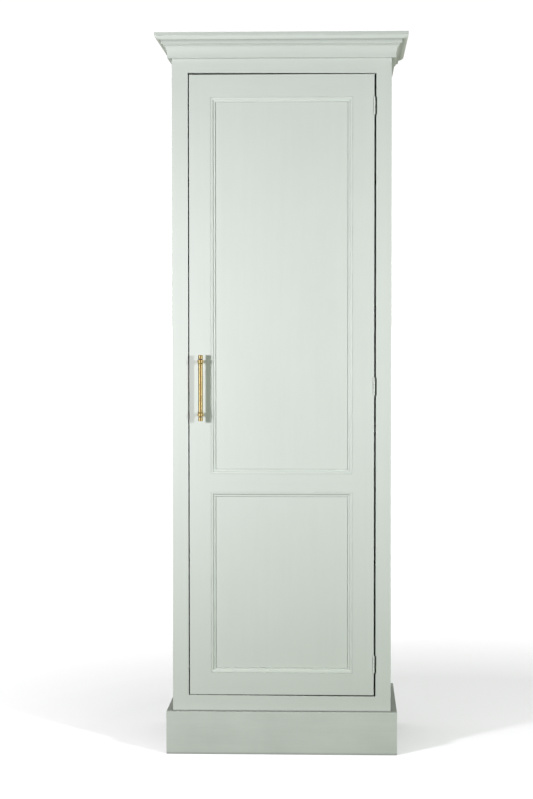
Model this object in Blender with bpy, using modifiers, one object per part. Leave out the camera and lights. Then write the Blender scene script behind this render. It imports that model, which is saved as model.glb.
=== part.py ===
"""A tall painted larder cupboard with one inset panelled door, modelled piece by piece.

Metres, +Z up. The front faces -Y. The origin is on the floor, under the middle of the overall box.
Run with: blender --background --python part.py
"""

import math

import bmesh
import bpy
from mathutils import Matrix, Vector

# Overall sizes
WIDTH = 0.635  # carcase, outside
DEPTH = 0.477  # front of the face frame to the back of the carcase
HEIGHT = 2.088
CLEARANCE = 0.0003  # between pieces that seat on each other
ARRIS = 0.0012  # softened board edges

# Carcase
SIDE_THICKNESS = 0.018
TOP_THICKNESS = 0.018
FLOOR_THICKNESS = 0.018
BACK_THICKNESS = 0.009
HOUSING_DEPTH = 0.006  # how far the top and floor boards enter the sides
GROOVE_COUNT = 5  # V-grooves in the back panel
GROOVE_WIDTH = 0.006
WALL_RAIL_HEIGHT = 0.090
WALL_RAIL_THICKNESS = 0.018

# Shelves
SHELF_COUNT = 4
SHELF_THICKNESS = 0.018
SHELF_SETBACK = 0.030  # behind the face frame
BATTEN_WIDTH = 0.018
BATTEN_HEIGHT = 0.030

# Face frame
FRAME_THICKNESS = 0.022
FRAME_STILE_LEFT = 0.0463
FRAME_STILE_RIGHT = 0.0444
TOP_RAIL_SHOWN = 0.0426  # between the middle of the door opening and the cornice
TOP_RAIL_FALL = 0.0034  # its lower edge falls by this much across the opening, to the right
BOTTOM_RAIL_SHOWN = 0.044  # between the plinth and the middle of the door opening
BOTTOM_RAIL_FALL = 0.0024
BOTTOM_RAIL_BURIED = 0.040  # behind the plinth
FRAME_TENON_LENGTH = 0.028
FRAME_TENON_SHOULDER = 0.008
FRAME_TENON_SETBACK = 0.007
FRAME_TENON_THICKNESS = 0.008

# Plinth
PLINTH_HEIGHT = 0.125
PLINTH_THICKNESS = 0.018

# Cornice, from the top down
CORNICE_HEIGHT = 0.070
CORNICE_PROJECTION = 0.047
CORNICE_FOOT = 0.0120  # how far its lowest edge stands out
CAP_FILLET = 0.0085
OVOLO_RUN = 0.016
OVOLO_DROP = 0.0115
STEP_RUN = 0.0018
BAND_DROP = 0.0108
COVE_RUN = 0.0070
COVE_DROP = 0.0022
LIP_DROP = 0.0032
CURVE_STEPS = 6  # straight facets in each curve of a moulding

# Door
DOOR_THICKNESS = 0.022
DOOR_GAP_TOP = 0.0038  # in the middle of the door's width
DOOR_GAP_BOTTOM = 0.0027
DOOR_GAP_HANDLE_SIDE = 0.0032
DOOR_GAP_HINGE_SIDE = 0.0052
DOOR_STILE = 0.0626
DOOR_TOP_RAIL = 0.0651
DOOR_MIDDLE_RAIL = 0.053
DOOR_BOTTOM_RAIL = 0.0640
LOWER_PANEL_SIGHT = 0.528  # height of the lower panel's opening
PANEL_RECESS = 0.010  # face of the door frame to the face of the panels
PANEL_THICKNESS = 0.009
PANEL_TONGUE = 0.008  # how far a panel enters its grooves
DOOR_TENON_LENGTH = 0.040
DOOR_TENON_SHOULDER = 0.012

# Panel moulding
MOULDING_WIDTH = 0.0128
MOULDING_SUNK = 0.0013  # its outer edge lies this far below the door frame's face
MOULDING_FILLET = 0.0012
MOULDING_BEAD = 0.0068  # from the outer edge to the inner side of the rounded bead
MOULDING_BEAD_DROP = 0.0022
MOULDING_STEP = 0.0008  # from the bead down to the hollow beside it
MOULDING_TOE = 0.0030  # flat inner edge
MOULDING_TOE_HEIGHT = 0.0034  # over the panel's face
QUIRK_WIDTH = 0.0010  # fine groove between the moulding and the panel's field
QUIRK_DEPTH = 0.0012

# Hinges
HINGE_HEIGHT = 0.051
KNUCKLE_RADIUS = 0.0024
KNUCKLE_COUNT = 5
KNUCKLE_GAP = 0.0004
PIN_RADIUS = 0.0012
PIN_RUNNING_GAP = 0.00025
LEAF_THICKNESS = 0.0014
LEAF_WIDTH = 0.0165
WEB_SETBACK = 0.0015  # from the knuckle's axis to the front of the web that ties it to its leaf
BRIDGE_SETBACK = 0.012  # from the face of the frame to the part of that web which crosses the gap
PIN_OVERHANG = 0.0008
HINGE_SCREW_RADIUS = 0.0013
HINGE_SCREW_LENGTH = 0.012
HINGE_SCREW_PITCH = 0.030
HINGE_SCREW_PROUD = 0.0002
HINGE_SIDES = 16

# Handle
HANDLE_HEIGHT = 1.0672  # its middle, over the floor
HANDLE_INSET = 0.0349  # from the door's edge to the bar's axis
HANDLE_CENTRES = 0.152
HANDLE_LENGTH = 0.191
BAR_RADIUS = 0.0070
BAR_STANDOFF = 0.034  # door face to the bar's axis
COLLAR_RADIUS = 0.0093
COLLAR_END = 0.0058  # from the post's axis to the collar's outer end
COLLAR_STRAIGHT = 0.0064
COLLAR_TAPER = 0.0086
COLLAR_CURVE = ((0.25, 0.05), (0.65, 0.40))  # shares of the taper's length and of its fall
NECK_RADIUS = 0.0056
NECK_WIDTH = 0.0016
POST_RADIUS = 0.0042
HANDLE_SIDES = 32
BOLT_RADIUS = 0.0020
BOLT_HEAD_RADIUS = 0.0042
BOLT_FACE_RADIUS = 0.0034
BOLT_HEAD_HEIGHT = 0.0024
BOLT_ENGAGEMENT = 0.012

# Magnetic catch
CATCH_LENGTH = 0.040
CATCH_HEIGHT = 0.016
CATCH_DEPTH = 0.014
CATCH_HOLD = 0.016  # how much of it lies behind the face-frame stile
STRIKE_LENGTH = 0.020
STRIKE_THICKNESS = 0.0012
CATCH_DROP = 0.090  # below the top of the door

# Planes worked out from the sizes above
HALF_WIDTH = WIDTH / 2
FRONT = CORNICE_PROJECTION - (DEPTH + CORNICE_PROJECTION) / 2
BACK = FRONT + DEPTH
FRAME_BACK = FRONT + FRAME_THICKNESS
CARCASE_FRONT = FRAME_BACK + CLEARANCE
INSIDE = HALF_WIDTH - SIDE_THICKNESS
OPENING_LEFT = -HALF_WIDTH + FRAME_STILE_LEFT
OPENING_RIGHT = HALF_WIDTH - FRAME_STILE_RIGHT
OPENING_BOTTOM = PLINTH_HEIGHT + BOTTOM_RAIL_SHOWN
OPENING_TOP = HEIGHT - CORNICE_HEIGHT - TOP_RAIL_SHOWN
FLOOR_TOP = OPENING_BOTTOM
CEILING = HEIGHT - TOP_THICKNESS
BACK_FACE = BACK - BACK_THICKNESS

DOOR_LEFT = OPENING_LEFT + DOOR_GAP_HANDLE_SIDE
DOOR_RIGHT = OPENING_RIGHT - DOOR_GAP_HINGE_SIDE
DOOR_BOTTOM = OPENING_BOTTOM + DOOR_GAP_BOTTOM
DOOR_TOP = OPENING_TOP - DOOR_GAP_TOP
DOOR_BACK = FRONT + DOOR_THICKNESS
PANEL_FRONT = FRONT + PANEL_RECESS
PANEL_BACK = PANEL_FRONT + PANEL_THICKNESS
SIGHT_LEFT = DOOR_LEFT + DOOR_STILE
SIGHT_RIGHT = DOOR_RIGHT - DOOR_STILE
LOWER_SIGHT_BOTTOM = DOOR_BOTTOM + DOOR_BOTTOM_RAIL
LOWER_SIGHT_TOP = LOWER_SIGHT_BOTTOM + LOWER_PANEL_SIGHT
UPPER_SIGHT_BOTTOM = LOWER_SIGHT_TOP + DOOR_MIDDLE_RAIL
UPPER_SIGHT_TOP = DOOR_TOP - DOOR_TOP_RAIL

HINGE_X = DOOR_RIGHT
HINGE_Y = FRONT - KNUCKLE_RADIUS - CLEARANCE
HINGE_TOP_Z = UPPER_SIGHT_TOP - HINGE_HEIGHT / 2
HINGE_BOTTOM_Z = LOWER_SIGHT_BOTTOM + HINGE_HEIGHT / 2
HINGE_LEVELS = {
    "upper": HINGE_TOP_Z,
    "middle": (HINGE_TOP_Z + HINGE_BOTTOM_Z) / 2,
    "lower": HINGE_BOTTOM_Z,
}

HANDLE_X = DOOR_LEFT + HANDLE_INSET
HANDLE_Y = FRONT - BAR_STANDOFF
CATCH_Z = DOOR_TOP - CATCH_DROP

UP = Vector((0, 0, 1))
MERGE_DISTANCE = 1e-6
SHARP_ARRIS_ANGLE = 50  # degrees; edges sharper than this are softened
SMOOTH_ANGLE = 35  # degrees; turned faces that meet at less are shaded as one
PARTS_NAME = "larder_cupboard"


def clear_scene():
    for obj in list(bpy.data.objects):
        bpy.data.objects.remove(obj, do_unlink=True)


def new_collection(name):
    collection = bpy.data.collections.new(name)
    bpy.context.scene.collection.children.link(collection)
    return collection


clear_scene()
PARTS = new_collection(PARTS_NAME)
CUTTERS = new_collection("cutters")


def material(name, colour, roughness, metallic=0.0):
    mat = bpy.data.materials.new(name)
    mat.use_nodes = True
    shader = mat.node_tree.nodes["Principled BSDF"]
    shader.inputs["Base Color"].default_value = (*colour, 1.0)
    shader.inputs["Roughness"].default_value = roughness
    shader.inputs["Metallic"].default_value = metallic
    return mat


PAINT = (0.55, 0.60, 0.54)
INSIDE_PAINT = (0.60, 0.63, 0.58)
BRASS = (0.72, 0.52, 0.24)
STEEL = (0.55, 0.55, 0.55)
BLACK = (0.03, 0.03, 0.03)


def painted(name):
    return material(name + "_paint", PAINT, 0.45)


def painted_inside(name):
    return material(name + "_paint", INSIDE_PAINT, 0.5)


def mesh_object(name, bm, collection=None):
    mesh = bpy.data.meshes.new(name)
    bmesh.ops.recalc_face_normals(bm, faces=bm.faces)
    bm.to_mesh(mesh)
    bm.free()
    obj = bpy.data.objects.new(name, mesh)
    (collection or PARTS).objects.link(obj)
    return obj


def box_mesh(low, high):
    bm = bmesh.new()
    bmesh.ops.create_cube(bm, size=1.0)
    size = Vector(high) - Vector(low)
    middle = (Vector(high) + Vector(low)) / 2
    bmesh.ops.scale(bm, vec=size, verts=bm.verts)
    bmesh.ops.translate(bm, vec=middle, verts=bm.verts)
    return bm


def soften(obj, width=ARRIS):
    bevel = obj.modifiers.new("arris", "BEVEL")
    bevel.width = width
    bevel.segments = 1
    bevel.limit_method = "ANGLE"
    bevel.angle_limit = math.radians(SHARP_ARRIS_ANGLE)


def apply_modifiers(obj):
    depsgraph = bpy.context.evaluated_depsgraph_get()
    mesh = bpy.data.meshes.new_from_object(obj.evaluated_get(depsgraph))
    obj.modifiers.clear()
    obj.data = mesh


def board(name, low, high, finish=painted, arris=ARRIS):
    """A planed board between two corners, with softened edges."""
    obj = mesh_object(name, box_mesh(low, high))
    soften(obj, arris)
    apply_modifiers(obj)
    obj.data.materials.append(finish(name))
    return obj


def cutter_box(name, low, high, grow=0.0):
    margin = Vector((grow, grow, grow))
    obj = mesh_object(name, box_mesh(Vector(low) - margin, Vector(high) + margin), CUTTERS)
    hide_cutter(obj)
    return obj


def cylinder_mesh(start, end, radius, sides):
    start, end = Vector(start), Vector(end)
    run = end - start
    bm = bmesh.new()
    bmesh.ops.create_cone(
        bm,
        cap_ends=True,
        segments=sides,
        radius1=radius,
        radius2=radius,
        depth=run.length,
    )
    turn = UP.rotation_difference(run).to_matrix().to_4x4()
    bmesh.ops.transform(bm, matrix=Matrix.Translation((start + end) / 2) @ turn, verts=bm.verts)
    return bm


def cutter_cylinder(name, start, end, radius, sides):
    obj = mesh_object(name, cylinder_mesh(start, end, radius, sides), CUTTERS)
    hide_cutter(obj)
    return obj


def hide_cutter(obj):
    obj.hide_render = True
    obj.display_type = "WIRE"


def boolean(obj, other, operation):
    modifier = obj.modifiers.new(operation.lower(), "BOOLEAN")
    modifier.object = other
    modifier.operation = operation
    modifier.solver = "EXACT"
    apply_modifiers(obj)


def cut(obj, cutter):
    boolean(obj, cutter, "DIFFERENCE")


def join(obj, addition):
    """Unites a helper shape with a piece, and removes the helper."""
    boolean(obj, addition, "UNION")
    bpy.data.objects.remove(addition, do_unlink=True)


def smooth(obj):
    obj.data.shade_smooth()
    obj.data.set_sharp_from_angle(angle=math.radians(SMOOTH_ANGLE))


def outline_object(name, points, origin, x_axis, y_axis, length):
    """A closed outline in the plane of two axes, extruded by a length centred on the origin."""
    curve = bpy.data.curves.new(name + "_outline", "CURVE")
    curve.dimensions = "2D"
    curve.fill_mode = "BOTH"
    curve.extrude = length / 2
    spline = curve.splines.new("POLY")
    spline.points.add(len(points) - 1)
    for target, (x, y) in zip(spline.points, points):
        target.co = (x, y, 0, 1)
    spline.use_cyclic_u = True
    holder = bpy.data.objects.new(name + "_holder", curve)
    PARTS.objects.link(holder)
    depsgraph = bpy.context.evaluated_depsgraph_get()
    flat = bpy.data.meshes.new_from_object(holder.evaluated_get(depsgraph))
    bpy.data.objects.remove(holder, do_unlink=True)
    bm = bmesh.new()
    bm.from_mesh(flat)
    bmesh.ops.remove_doubles(bm, verts=bm.verts, dist=MERGE_DISTANCE)
    x_axis, y_axis = Vector(x_axis), Vector(y_axis)
    turn = Matrix((x_axis, y_axis, x_axis.cross(y_axis))).transposed().to_4x4()
    bmesh.ops.transform(bm, matrix=Matrix.Translation(origin) @ turn, verts=bm.verts)
    return mesh_object(name, bm)


def mitre(obj, point, away):
    """Cuts a piece by a plane, and takes off what lies on the side that away points to."""
    bm = bmesh.new()
    bm.from_mesh(obj.data)
    geometry = bm.verts[:] + bm.edges[:] + bm.faces[:]
    bmesh.ops.bisect_plane(bm, geom=geometry, plane_co=point, plane_no=away, clear_outer=True)
    open_edges = [edge for edge in bm.edges if edge.is_boundary]
    bmesh.ops.holes_fill(bm, edges=open_edges)
    bmesh.ops.recalc_face_normals(bm, faces=bm.faces)
    bm.to_mesh(obj.data)
    bm.free()


def turned(name, profile, start, direction, sides):
    """A turned piece. The profile's (radius, distance) pairs run from one end of the axis to the other."""
    bm = bmesh.new()
    verts = [bm.verts.new((radius, 0, along)) for radius, along in reversed(profile)]
    for first, second in zip(verts, verts[1:]):
        bm.edges.new((first, second))
    line = bpy.data.meshes.new(name + "_line")
    bm.to_mesh(line)
    bm.free()
    obj = bpy.data.objects.new(name, line)
    PARTS.objects.link(obj)
    screw = obj.modifiers.new("turn", "SCREW")
    screw.steps = sides
    screw.render_steps = sides
    screw.use_merge_vertices = True
    screw.merge_threshold = MERGE_DISTANCE
    apply_modifiers(obj)
    bm = bmesh.new()
    bm.from_mesh(obj.data)
    bmesh.ops.remove_doubles(bm, verts=bm.verts, dist=MERGE_DISTANCE)
    turn = UP.rotation_difference(Vector(direction)).to_matrix().to_4x4()
    bmesh.ops.transform(bm, matrix=Matrix.Translation(start) @ turn, verts=bm.verts)
    bmesh.ops.recalc_face_normals(bm, faces=bm.faces)
    bm.to_mesh(obj.data)
    bm.free()
    return obj


def quarter_curve(start, end, corner, steps):
    """Points of a quarter ellipse between two points, bulging towards the given corner of their box."""
    start, end = Vector(start), Vector(end)
    centre = start + end - Vector(corner)
    points = []
    for index in range(1, steps):
        angle = index / steps * math.pi / 2
        point = centre + (start - centre) * math.cos(angle) + (end - centre) * math.sin(angle)
        points.append(tuple(point))
    return points


def make_carcase():
    insets = carcase_insets()
    for name, sign in (("side_left", -1), ("side_right", 1)):
        outer, inner = sign * HALF_WIDTH, sign * INSIDE
        low = (min(outer, inner), CARCASE_FRONT, 0)
        high = (max(outer, inner), BACK, HEIGHT)
        side = board(name, low, high)
        for inset in insets:
            cut(side, inset)

    reach = INSIDE + HOUSING_DEPTH
    board(
        "top_board",
        (-reach, CARCASE_FRONT, CEILING),
        (reach, BACK_FACE - CLEARANCE, HEIGHT),
    )
    board(
        "floor_board",
        (-reach, CARCASE_FRONT, FLOOR_TOP - FLOOR_THICKNESS),
        (reach, BACK_FACE - CLEARANCE, FLOOR_TOP),
        painted_inside,
    )
    make_back_panel()
    rail_top = CEILING - CLEARANCE
    board(
        "wall_rail",
        (-INSIDE + CLEARANCE, BACK_FACE - CLEARANCE - WALL_RAIL_THICKNESS, rail_top - WALL_RAIL_HEIGHT),
        (INSIDE - CLEARANCE, BACK_FACE - CLEARANCE, rail_top),
        painted_inside,
    )


def carcase_insets():
    """Grooves in the side boards for the top, the floor and the back."""
    reach = INSIDE + HOUSING_DEPTH
    beyond = HALF_WIDTH
    top = cutter_box(
        "top_housing",
        (-reach, CARCASE_FRONT - beyond, CEILING),
        (reach, BACK_FACE - CLEARANCE, HEIGHT + beyond),
        CLEARANCE,
    )
    floor = cutter_box(
        "floor_housing",
        (-reach, CARCASE_FRONT - beyond, FLOOR_TOP - FLOOR_THICKNESS),
        (reach, BACK_FACE - CLEARANCE, FLOOR_TOP),
        CLEARANCE,
    )
    back = cutter_box(
        "back_rebate",
        (-reach, BACK_FACE, FLOOR_TOP - FLOOR_THICKNESS),
        (reach, BACK + beyond, HEIGHT + beyond),
        CLEARANCE,
    )
    return top, floor, back


def make_back_panel():
    reach = INSIDE + HOUSING_DEPTH
    panel = board(
        "back_panel",
        (-reach, BACK_FACE, FLOOR_TOP - FLOOR_THICKNESS),
        (reach, BACK, HEIGHT),
        painted_inside,
        ARRIS / 2,
    )
    pitch = 2 * INSIDE / (GROOVE_COUNT + 1)
    half = GROOVE_WIDTH / 2
    for index in range(GROOVE_COUNT):
        x = -INSIDE + (index + 1) * pitch
        groove = outline_object(
            f"v_groove_{index + 1}",
            [(-half, -half), (half, -half), (half, 0), (0, half), (-half, 0)],
            (x, BACK_FACE, (FLOOR_TOP + HEIGHT) / 2),
            (1, 0, 0),
            (0, 1, 0),
            2 * HEIGHT,
        )
        PARTS.objects.unlink(groove)
        CUTTERS.objects.link(groove)
        hide_cutter(groove)
        cut(panel, groove)


def make_shelves():
    space = (CEILING - FLOOR_TOP - SHELF_COUNT * SHELF_THICKNESS) / (SHELF_COUNT + 1)
    front = FRAME_BACK + SHELF_SETBACK
    back = BACK_FACE - CLEARANCE
    for index in range(SHELF_COUNT):
        bottom = FLOOR_TOP + (index + 1) * space + index * SHELF_THICKNESS
        number = index + 1
        board(
            f"shelf_{number}",
            (-INSIDE + CLEARANCE, front, bottom),
            (INSIDE - CLEARANCE, back, bottom + SHELF_THICKNESS),
            painted_inside,
        )
        for side, sign in (("left", -1), ("right", 1)):
            outer = sign * (INSIDE - CLEARANCE)
            inner = sign * (INSIDE - CLEARANCE - BATTEN_WIDTH)
            top = bottom - CLEARANCE
            board(
                f"shelf_batten_{number}_{side}",
                (min(outer, inner), front, top - BATTEN_HEIGHT),
                (max(outer, inner), back, top),
                painted_inside,
            )


def make_face_frame():
    rail_levels = {
        "frame_rail_top": (OPENING_TOP, HEIGHT),
        "frame_rail_bottom": (PLINTH_HEIGHT - BOTTOM_RAIL_BURIED, OPENING_BOTTOM),
    }
    door_edges = {
        "frame_rail_top": (OPENING_TOP, TOP_RAIL_FALL),
        "frame_rail_bottom": (OPENING_BOTTOM, BOTTOM_RAIL_FALL),
    }
    tenons = []
    for name, (bottom, top) in rail_levels.items():
        low = (OPENING_LEFT + CLEARANCE, FRONT, bottom)
        high = (OPENING_RIGHT - CLEARANCE, FRAME_BACK, top)
        rail = board(name, low, high)
        tilt_edge(rail, *door_edges[name])
        tenon_front = FRONT + FRAME_TENON_SETBACK
        low = (OPENING_LEFT - FRAME_TENON_LENGTH, tenon_front, bottom + FRAME_TENON_SHOULDER)
        high = (
            OPENING_RIGHT + FRAME_TENON_LENGTH,
            tenon_front + FRAME_TENON_THICKNESS,
            top - FRAME_TENON_SHOULDER,
        )
        join(rail, mesh_object(name + "_tenons", box_mesh(low, high)))
        tenons.append(cutter_box(name + "_mortises", low, high, CLEARANCE))
    stiles = {
        "frame_stile_left": (-HALF_WIDTH, OPENING_LEFT),
        "frame_stile_right": (OPENING_RIGHT, HALF_WIDTH),
    }
    for name, (left, right) in stiles.items():
        stile = board(name, (left, FRONT, 0), (right, FRAME_BACK, HEIGHT))
        for tenon in tenons:
            cut(stile, tenon)


def tilt_edge(rail, level, fall):
    """Lets a rail's edge, at that level in the middle of the opening, fall to the right."""
    for vert in rail.data.vertices:
        if abs(vert.co.z - level) < 2 * ARRIS:
            vert.co.z -= fall * vert.co.x / (OPENING_RIGHT - OPENING_LEFT)


def corner_plane(sign, gap):
    """The mitre plane at a front corner: a point on it, and the way from the front piece outwards."""
    outwards = Vector((sign, 1, 0)).normalized()
    point = Vector((sign * HALF_WIDTH, FRONT, 0)) - outwards * gap / 2
    return point, outwards


def wrap_round_carcase(name, profile, bottom):
    """Runs a profile along the front and both sides, overlong at first, then mitred at the front corners.

    The profile's x is the distance out from the carcase, and its y the height over the bottom."""
    seat = CLEARANCE
    overrun = 2 * max(x for x, _ in profile)
    front = outline_object(
        name + "_front",
        profile,
        (0, FRONT - seat, bottom),
        (0, -1, 0),
        (0, 0, 1),
        WIDTH + 2 * overrun,
    )
    for sign in (-1, 1):
        point, outwards = corner_plane(sign, CLEARANCE)
        mitre(front, point, outwards)
    finish_run(front)
    for side, sign in (("left", -1), ("right", 1)):
        start = FRONT - overrun
        run = outline_object(
            f"{name}_{side}",
            profile,
            (sign * (HALF_WIDTH + seat), (start + BACK) / 2, bottom),
            (sign, 0, 0),
            (0, 0, 1),
            BACK - start,
        )
        point, outwards = corner_plane(sign, -CLEARANCE)
        mitre(run, point, -outwards)
        finish_run(run)


def finish_run(obj):
    obj.data.materials.append(painted(obj.name))


def make_plinth():
    out = PLINTH_THICKNESS - CLEARANCE
    profile = [
        (0, 0),
        (out, 0),
        (out, PLINTH_HEIGHT - ARRIS),
        (out - ARRIS, PLINTH_HEIGHT),
        (0, PLINTH_HEIGHT),
    ]
    wrap_round_carcase("plinth", profile, 0)


def cornice_profile():
    """The cornice's section: a cap fillet, an ovolo, a band, a small cove, a lip and a long hollow."""
    out = CORNICE_PROJECTION - CLEARANCE
    down = CORNICE_HEIGHT
    points = [(0, down), (out - ARRIS, down), (out, down - ARRIS)]

    ovolo_start = (out, down - CAP_FILLET)
    ovolo_end = (out - OVOLO_RUN, ovolo_start[1] - OVOLO_DROP)
    points.append(ovolo_start)
    points += quarter_curve(ovolo_start, ovolo_end, (out, ovolo_end[1]), CURVE_STEPS)
    points.append(ovolo_end)

    band_top = (ovolo_end[0] - STEP_RUN, ovolo_end[1])
    band_bottom = (band_top[0], band_top[1] - BAND_DROP)
    points += [band_top, band_bottom]

    cove_end = (band_bottom[0] - COVE_RUN, band_bottom[1] - COVE_DROP)
    points += quarter_curve(band_bottom, cove_end, (cove_end[0], band_bottom[1]), CURVE_STEPS)

    lip_bottom = (cove_end[0], cove_end[1] - LIP_DROP)
    points += [cove_end, lip_bottom]

    foot = (CORNICE_FOOT - CLEARANCE, 0)
    points += quarter_curve(lip_bottom, foot, (foot[0], lip_bottom[1]), 2 * CURVE_STEPS)
    points += [foot, (0, 0)]
    return points


def make_cornice():
    wrap_round_carcase("cornice", cornice_profile(), HEIGHT - CORNICE_HEIGHT)


def door_openings():
    return {
        "upper": (UPPER_SIGHT_BOTTOM, UPPER_SIGHT_TOP),
        "lower": (LOWER_SIGHT_BOTTOM, LOWER_SIGHT_TOP),
    }


def make_door_frame():
    rails = {
        "door_rail_top": (UPPER_SIGHT_TOP, DOOR_TOP),
        "door_rail_middle": (LOWER_SIGHT_TOP, UPPER_SIGHT_BOTTOM),
        "door_rail_bottom": (DOOR_BOTTOM, LOWER_SIGHT_BOTTOM),
    }
    panel_grooves = [
        cutter_box(
            f"{name}_panel_groove",
            (SIGHT_LEFT - PANEL_TONGUE, PANEL_FRONT, bottom - PANEL_TONGUE),
            (SIGHT_RIGHT + PANEL_TONGUE, PANEL_BACK, top + PANEL_TONGUE),
            CLEARANCE,
        )
        for name, (bottom, top) in door_openings().items()
    ]
    mortises = []
    for name, (bottom, top) in rails.items():
        rail = board(
            name,
            (SIGHT_LEFT + CLEARANCE, FRONT, bottom),
            (SIGHT_RIGHT - CLEARANCE, DOOR_BACK, top),
        )
        low = (SIGHT_LEFT - DOOR_TENON_LENGTH, PANEL_FRONT, bottom + DOOR_TENON_SHOULDER)
        high = (SIGHT_RIGHT + DOOR_TENON_LENGTH, PANEL_BACK, top - DOOR_TENON_SHOULDER)
        join(rail, mesh_object(name + "_tenons", box_mesh(low, high)))
        for groove in panel_grooves:
            cut(rail, groove)
        mortises.append(cutter_box(name + "_mortises", low, high, CLEARANCE))
    stiles = {
        "door_stile_handle": (DOOR_LEFT, SIGHT_LEFT),
        "door_stile_hinge": (SIGHT_RIGHT, DOOR_RIGHT),
    }
    for name, (left, right) in stiles.items():
        stile = board(name, (left, FRONT, DOOR_BOTTOM), (right, DOOR_BACK, DOOR_TOP))
        for cutter in panel_grooves + mortises:
            cut(stile, cutter)


def make_panels():
    for name, (bottom, top) in door_openings().items():
        low = (SIGHT_LEFT - PANEL_TONGUE, PANEL_FRONT, bottom - PANEL_TONGUE)
        high = (SIGHT_RIGHT + PANEL_TONGUE, PANEL_BACK, top + PANEL_TONGUE)
        panel = mesh_object(f"door_panel_{name}", box_mesh(low, high))
        panel.data.materials.append(painted(panel.name))
        inset = MOULDING_WIDTH + 2 * CLEARANCE
        outer_low = (SIGHT_LEFT + inset, PANEL_FRONT - QUIRK_DEPTH, bottom + inset)
        outer_high = (SIGHT_RIGHT - inset, PANEL_FRONT + QUIRK_DEPTH, top - inset)
        inner_low = Vector(outer_low) + Vector((QUIRK_WIDTH, -QUIRK_DEPTH, QUIRK_WIDTH))
        inner_high = Vector(outer_high) - Vector((QUIRK_WIDTH, -QUIRK_DEPTH, QUIRK_WIDTH))
        ring = cutter_box(f"{name}_quirk", outer_low, outer_high)
        cut(ring, cutter_box(f"{name}_quirk_core", inner_low, inner_high))
        cut(panel, ring)


def moulding_profile():
    """The strip's section: a bead, a step down and a hollow. x runs in from the door frame's edge,
    and y back from its face."""
    back = PANEL_RECESS - CLEARANCE
    outer = CLEARANCE
    inner = CLEARANCE + MOULDING_WIDTH
    bead_start = (outer + MOULDING_FILLET, MOULDING_SUNK)
    bead_end = (outer + MOULDING_BEAD, MOULDING_SUNK + MOULDING_BEAD_DROP)
    hollow_start = (bead_end[0], bead_end[1] + MOULDING_STEP)
    hollow_end = (inner - MOULDING_TOE, PANEL_RECESS - MOULDING_TOE_HEIGHT)
    points = [(outer, back), (outer, MOULDING_SUNK), bead_start]
    points += quarter_curve(bead_start, bead_end, (bead_end[0], bead_start[1]), CURVE_STEPS)
    points += [bead_end, hollow_start]
    points += quarter_curve(hollow_start, hollow_end, (hollow_start[0], hollow_end[1]), CURVE_STEPS)
    points += [hollow_end, (inner, hollow_end[1]), (inner, back)]
    return points


def make_mouldings():
    profile = moulding_profile()
    middle_x = (SIGHT_LEFT + SIGHT_RIGHT) / 2
    width = SIGHT_RIGHT - SIGHT_LEFT
    for name, (bottom, top) in door_openings().items():
        middle_z = (bottom + top) / 2
        runs = {
            "left": ((SIGHT_LEFT, FRONT, middle_z), (1, 0, 0), top - bottom),
            "right": ((SIGHT_RIGHT, FRONT, middle_z), (-1, 0, 0), top - bottom),
            "top": ((middle_x, FRONT, top), (0, 0, -1), width),
            "bottom": ((middle_x, FRONT, bottom), (0, 0, 1), width),
        }
        centre = Vector((middle_x, FRONT, middle_z))
        for side, (origin, inwards, length) in runs.items():
            strip = outline_object(
                f"moulding_{name}_{side}", profile, origin, inwards, (0, 1, 0), length
            )
            for corner_x in (SIGHT_LEFT, SIGHT_RIGHT):
                for corner_z in (bottom, top):
                    mitre_strip(strip, Vector((corner_x, FRONT, corner_z)), centre, Vector(inwards))
            finish_run(strip)


def mitre_strip(strip, corner, centre, inwards):
    """Takes a strip's end off at 45 degrees, where the strip reaches that corner."""
    to_centre = Vector((math.copysign(1, centre.x - corner.x), 0, math.copysign(1, centre.z - corner.z)))
    along = to_centre - inwards * to_centre.dot(inwards)
    if to_centre.dot(inwards) < 0:
        return
    away = (inwards - along).normalized()
    mitre(strip, corner - away * CLEARANCE / 2, away)


def screw_shape(name, face, direction, radius, length):
    """A countersunk screw from its head's face inwards."""
    head = 2 * radius
    profile = [
        (0, 0),
        (head, 0),
        (radius, radius),
        (radius, length - radius),
        (0, length),
    ]
    return turned(name, profile, face, direction, HINGE_SIDES // 2)


def hinge_screws(level):
    """Where a leaf's two screws stand, up the leaf."""
    return (level - HINGE_SCREW_PITCH / 2, level + HINGE_SCREW_PITCH / 2)


def make_hinges():
    leaf_y = (HINGE_Y, FRONT + LEAF_WIDTH)
    screw_y = FRONT + LEAF_WIDTH / 2
    frame_face = OPENING_RIGHT + LEAF_THICKNESS
    door_face = DOOR_RIGHT
    for name, level in HINGE_LEVELS.items():
        bottom = level - HINGE_HEIGHT / 2
        pitch = HINGE_HEIGHT / KNUCKLE_COUNT
        spans = [
            (bottom + index * pitch + KNUCKLE_GAP / 2, bottom + (index + 1) * pitch - KNUCKLE_GAP / 2)
            for index in range(KNUCKLE_COUNT)
        ]
        make_frame_leaf(name, level, spans[::2], frame_face, screw_y)
        make_door_leaf(name, level, spans[1::2], door_face, leaf_y, screw_y)
        make_hinge_pin(name, bottom)


def knuckle(name, span):
    low, high = span
    return mesh_object(
        name,
        cylinder_mesh(
            (HINGE_X, HINGE_Y, low), (HINGE_X, HINGE_Y, high), KNUCKLE_RADIUS, HINGE_SIDES
        ),
    )


def pin_bore(name, level):
    reach = HINGE_HEIGHT
    return cutter_cylinder(
        f"{name}_pin_bore",
        (HINGE_X, HINGE_Y, level - reach),
        (HINGE_X, HINGE_Y, level + reach),
        PIN_RADIUS + PIN_RUNNING_GAP,
        HINGE_SIDES,
    )


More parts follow.
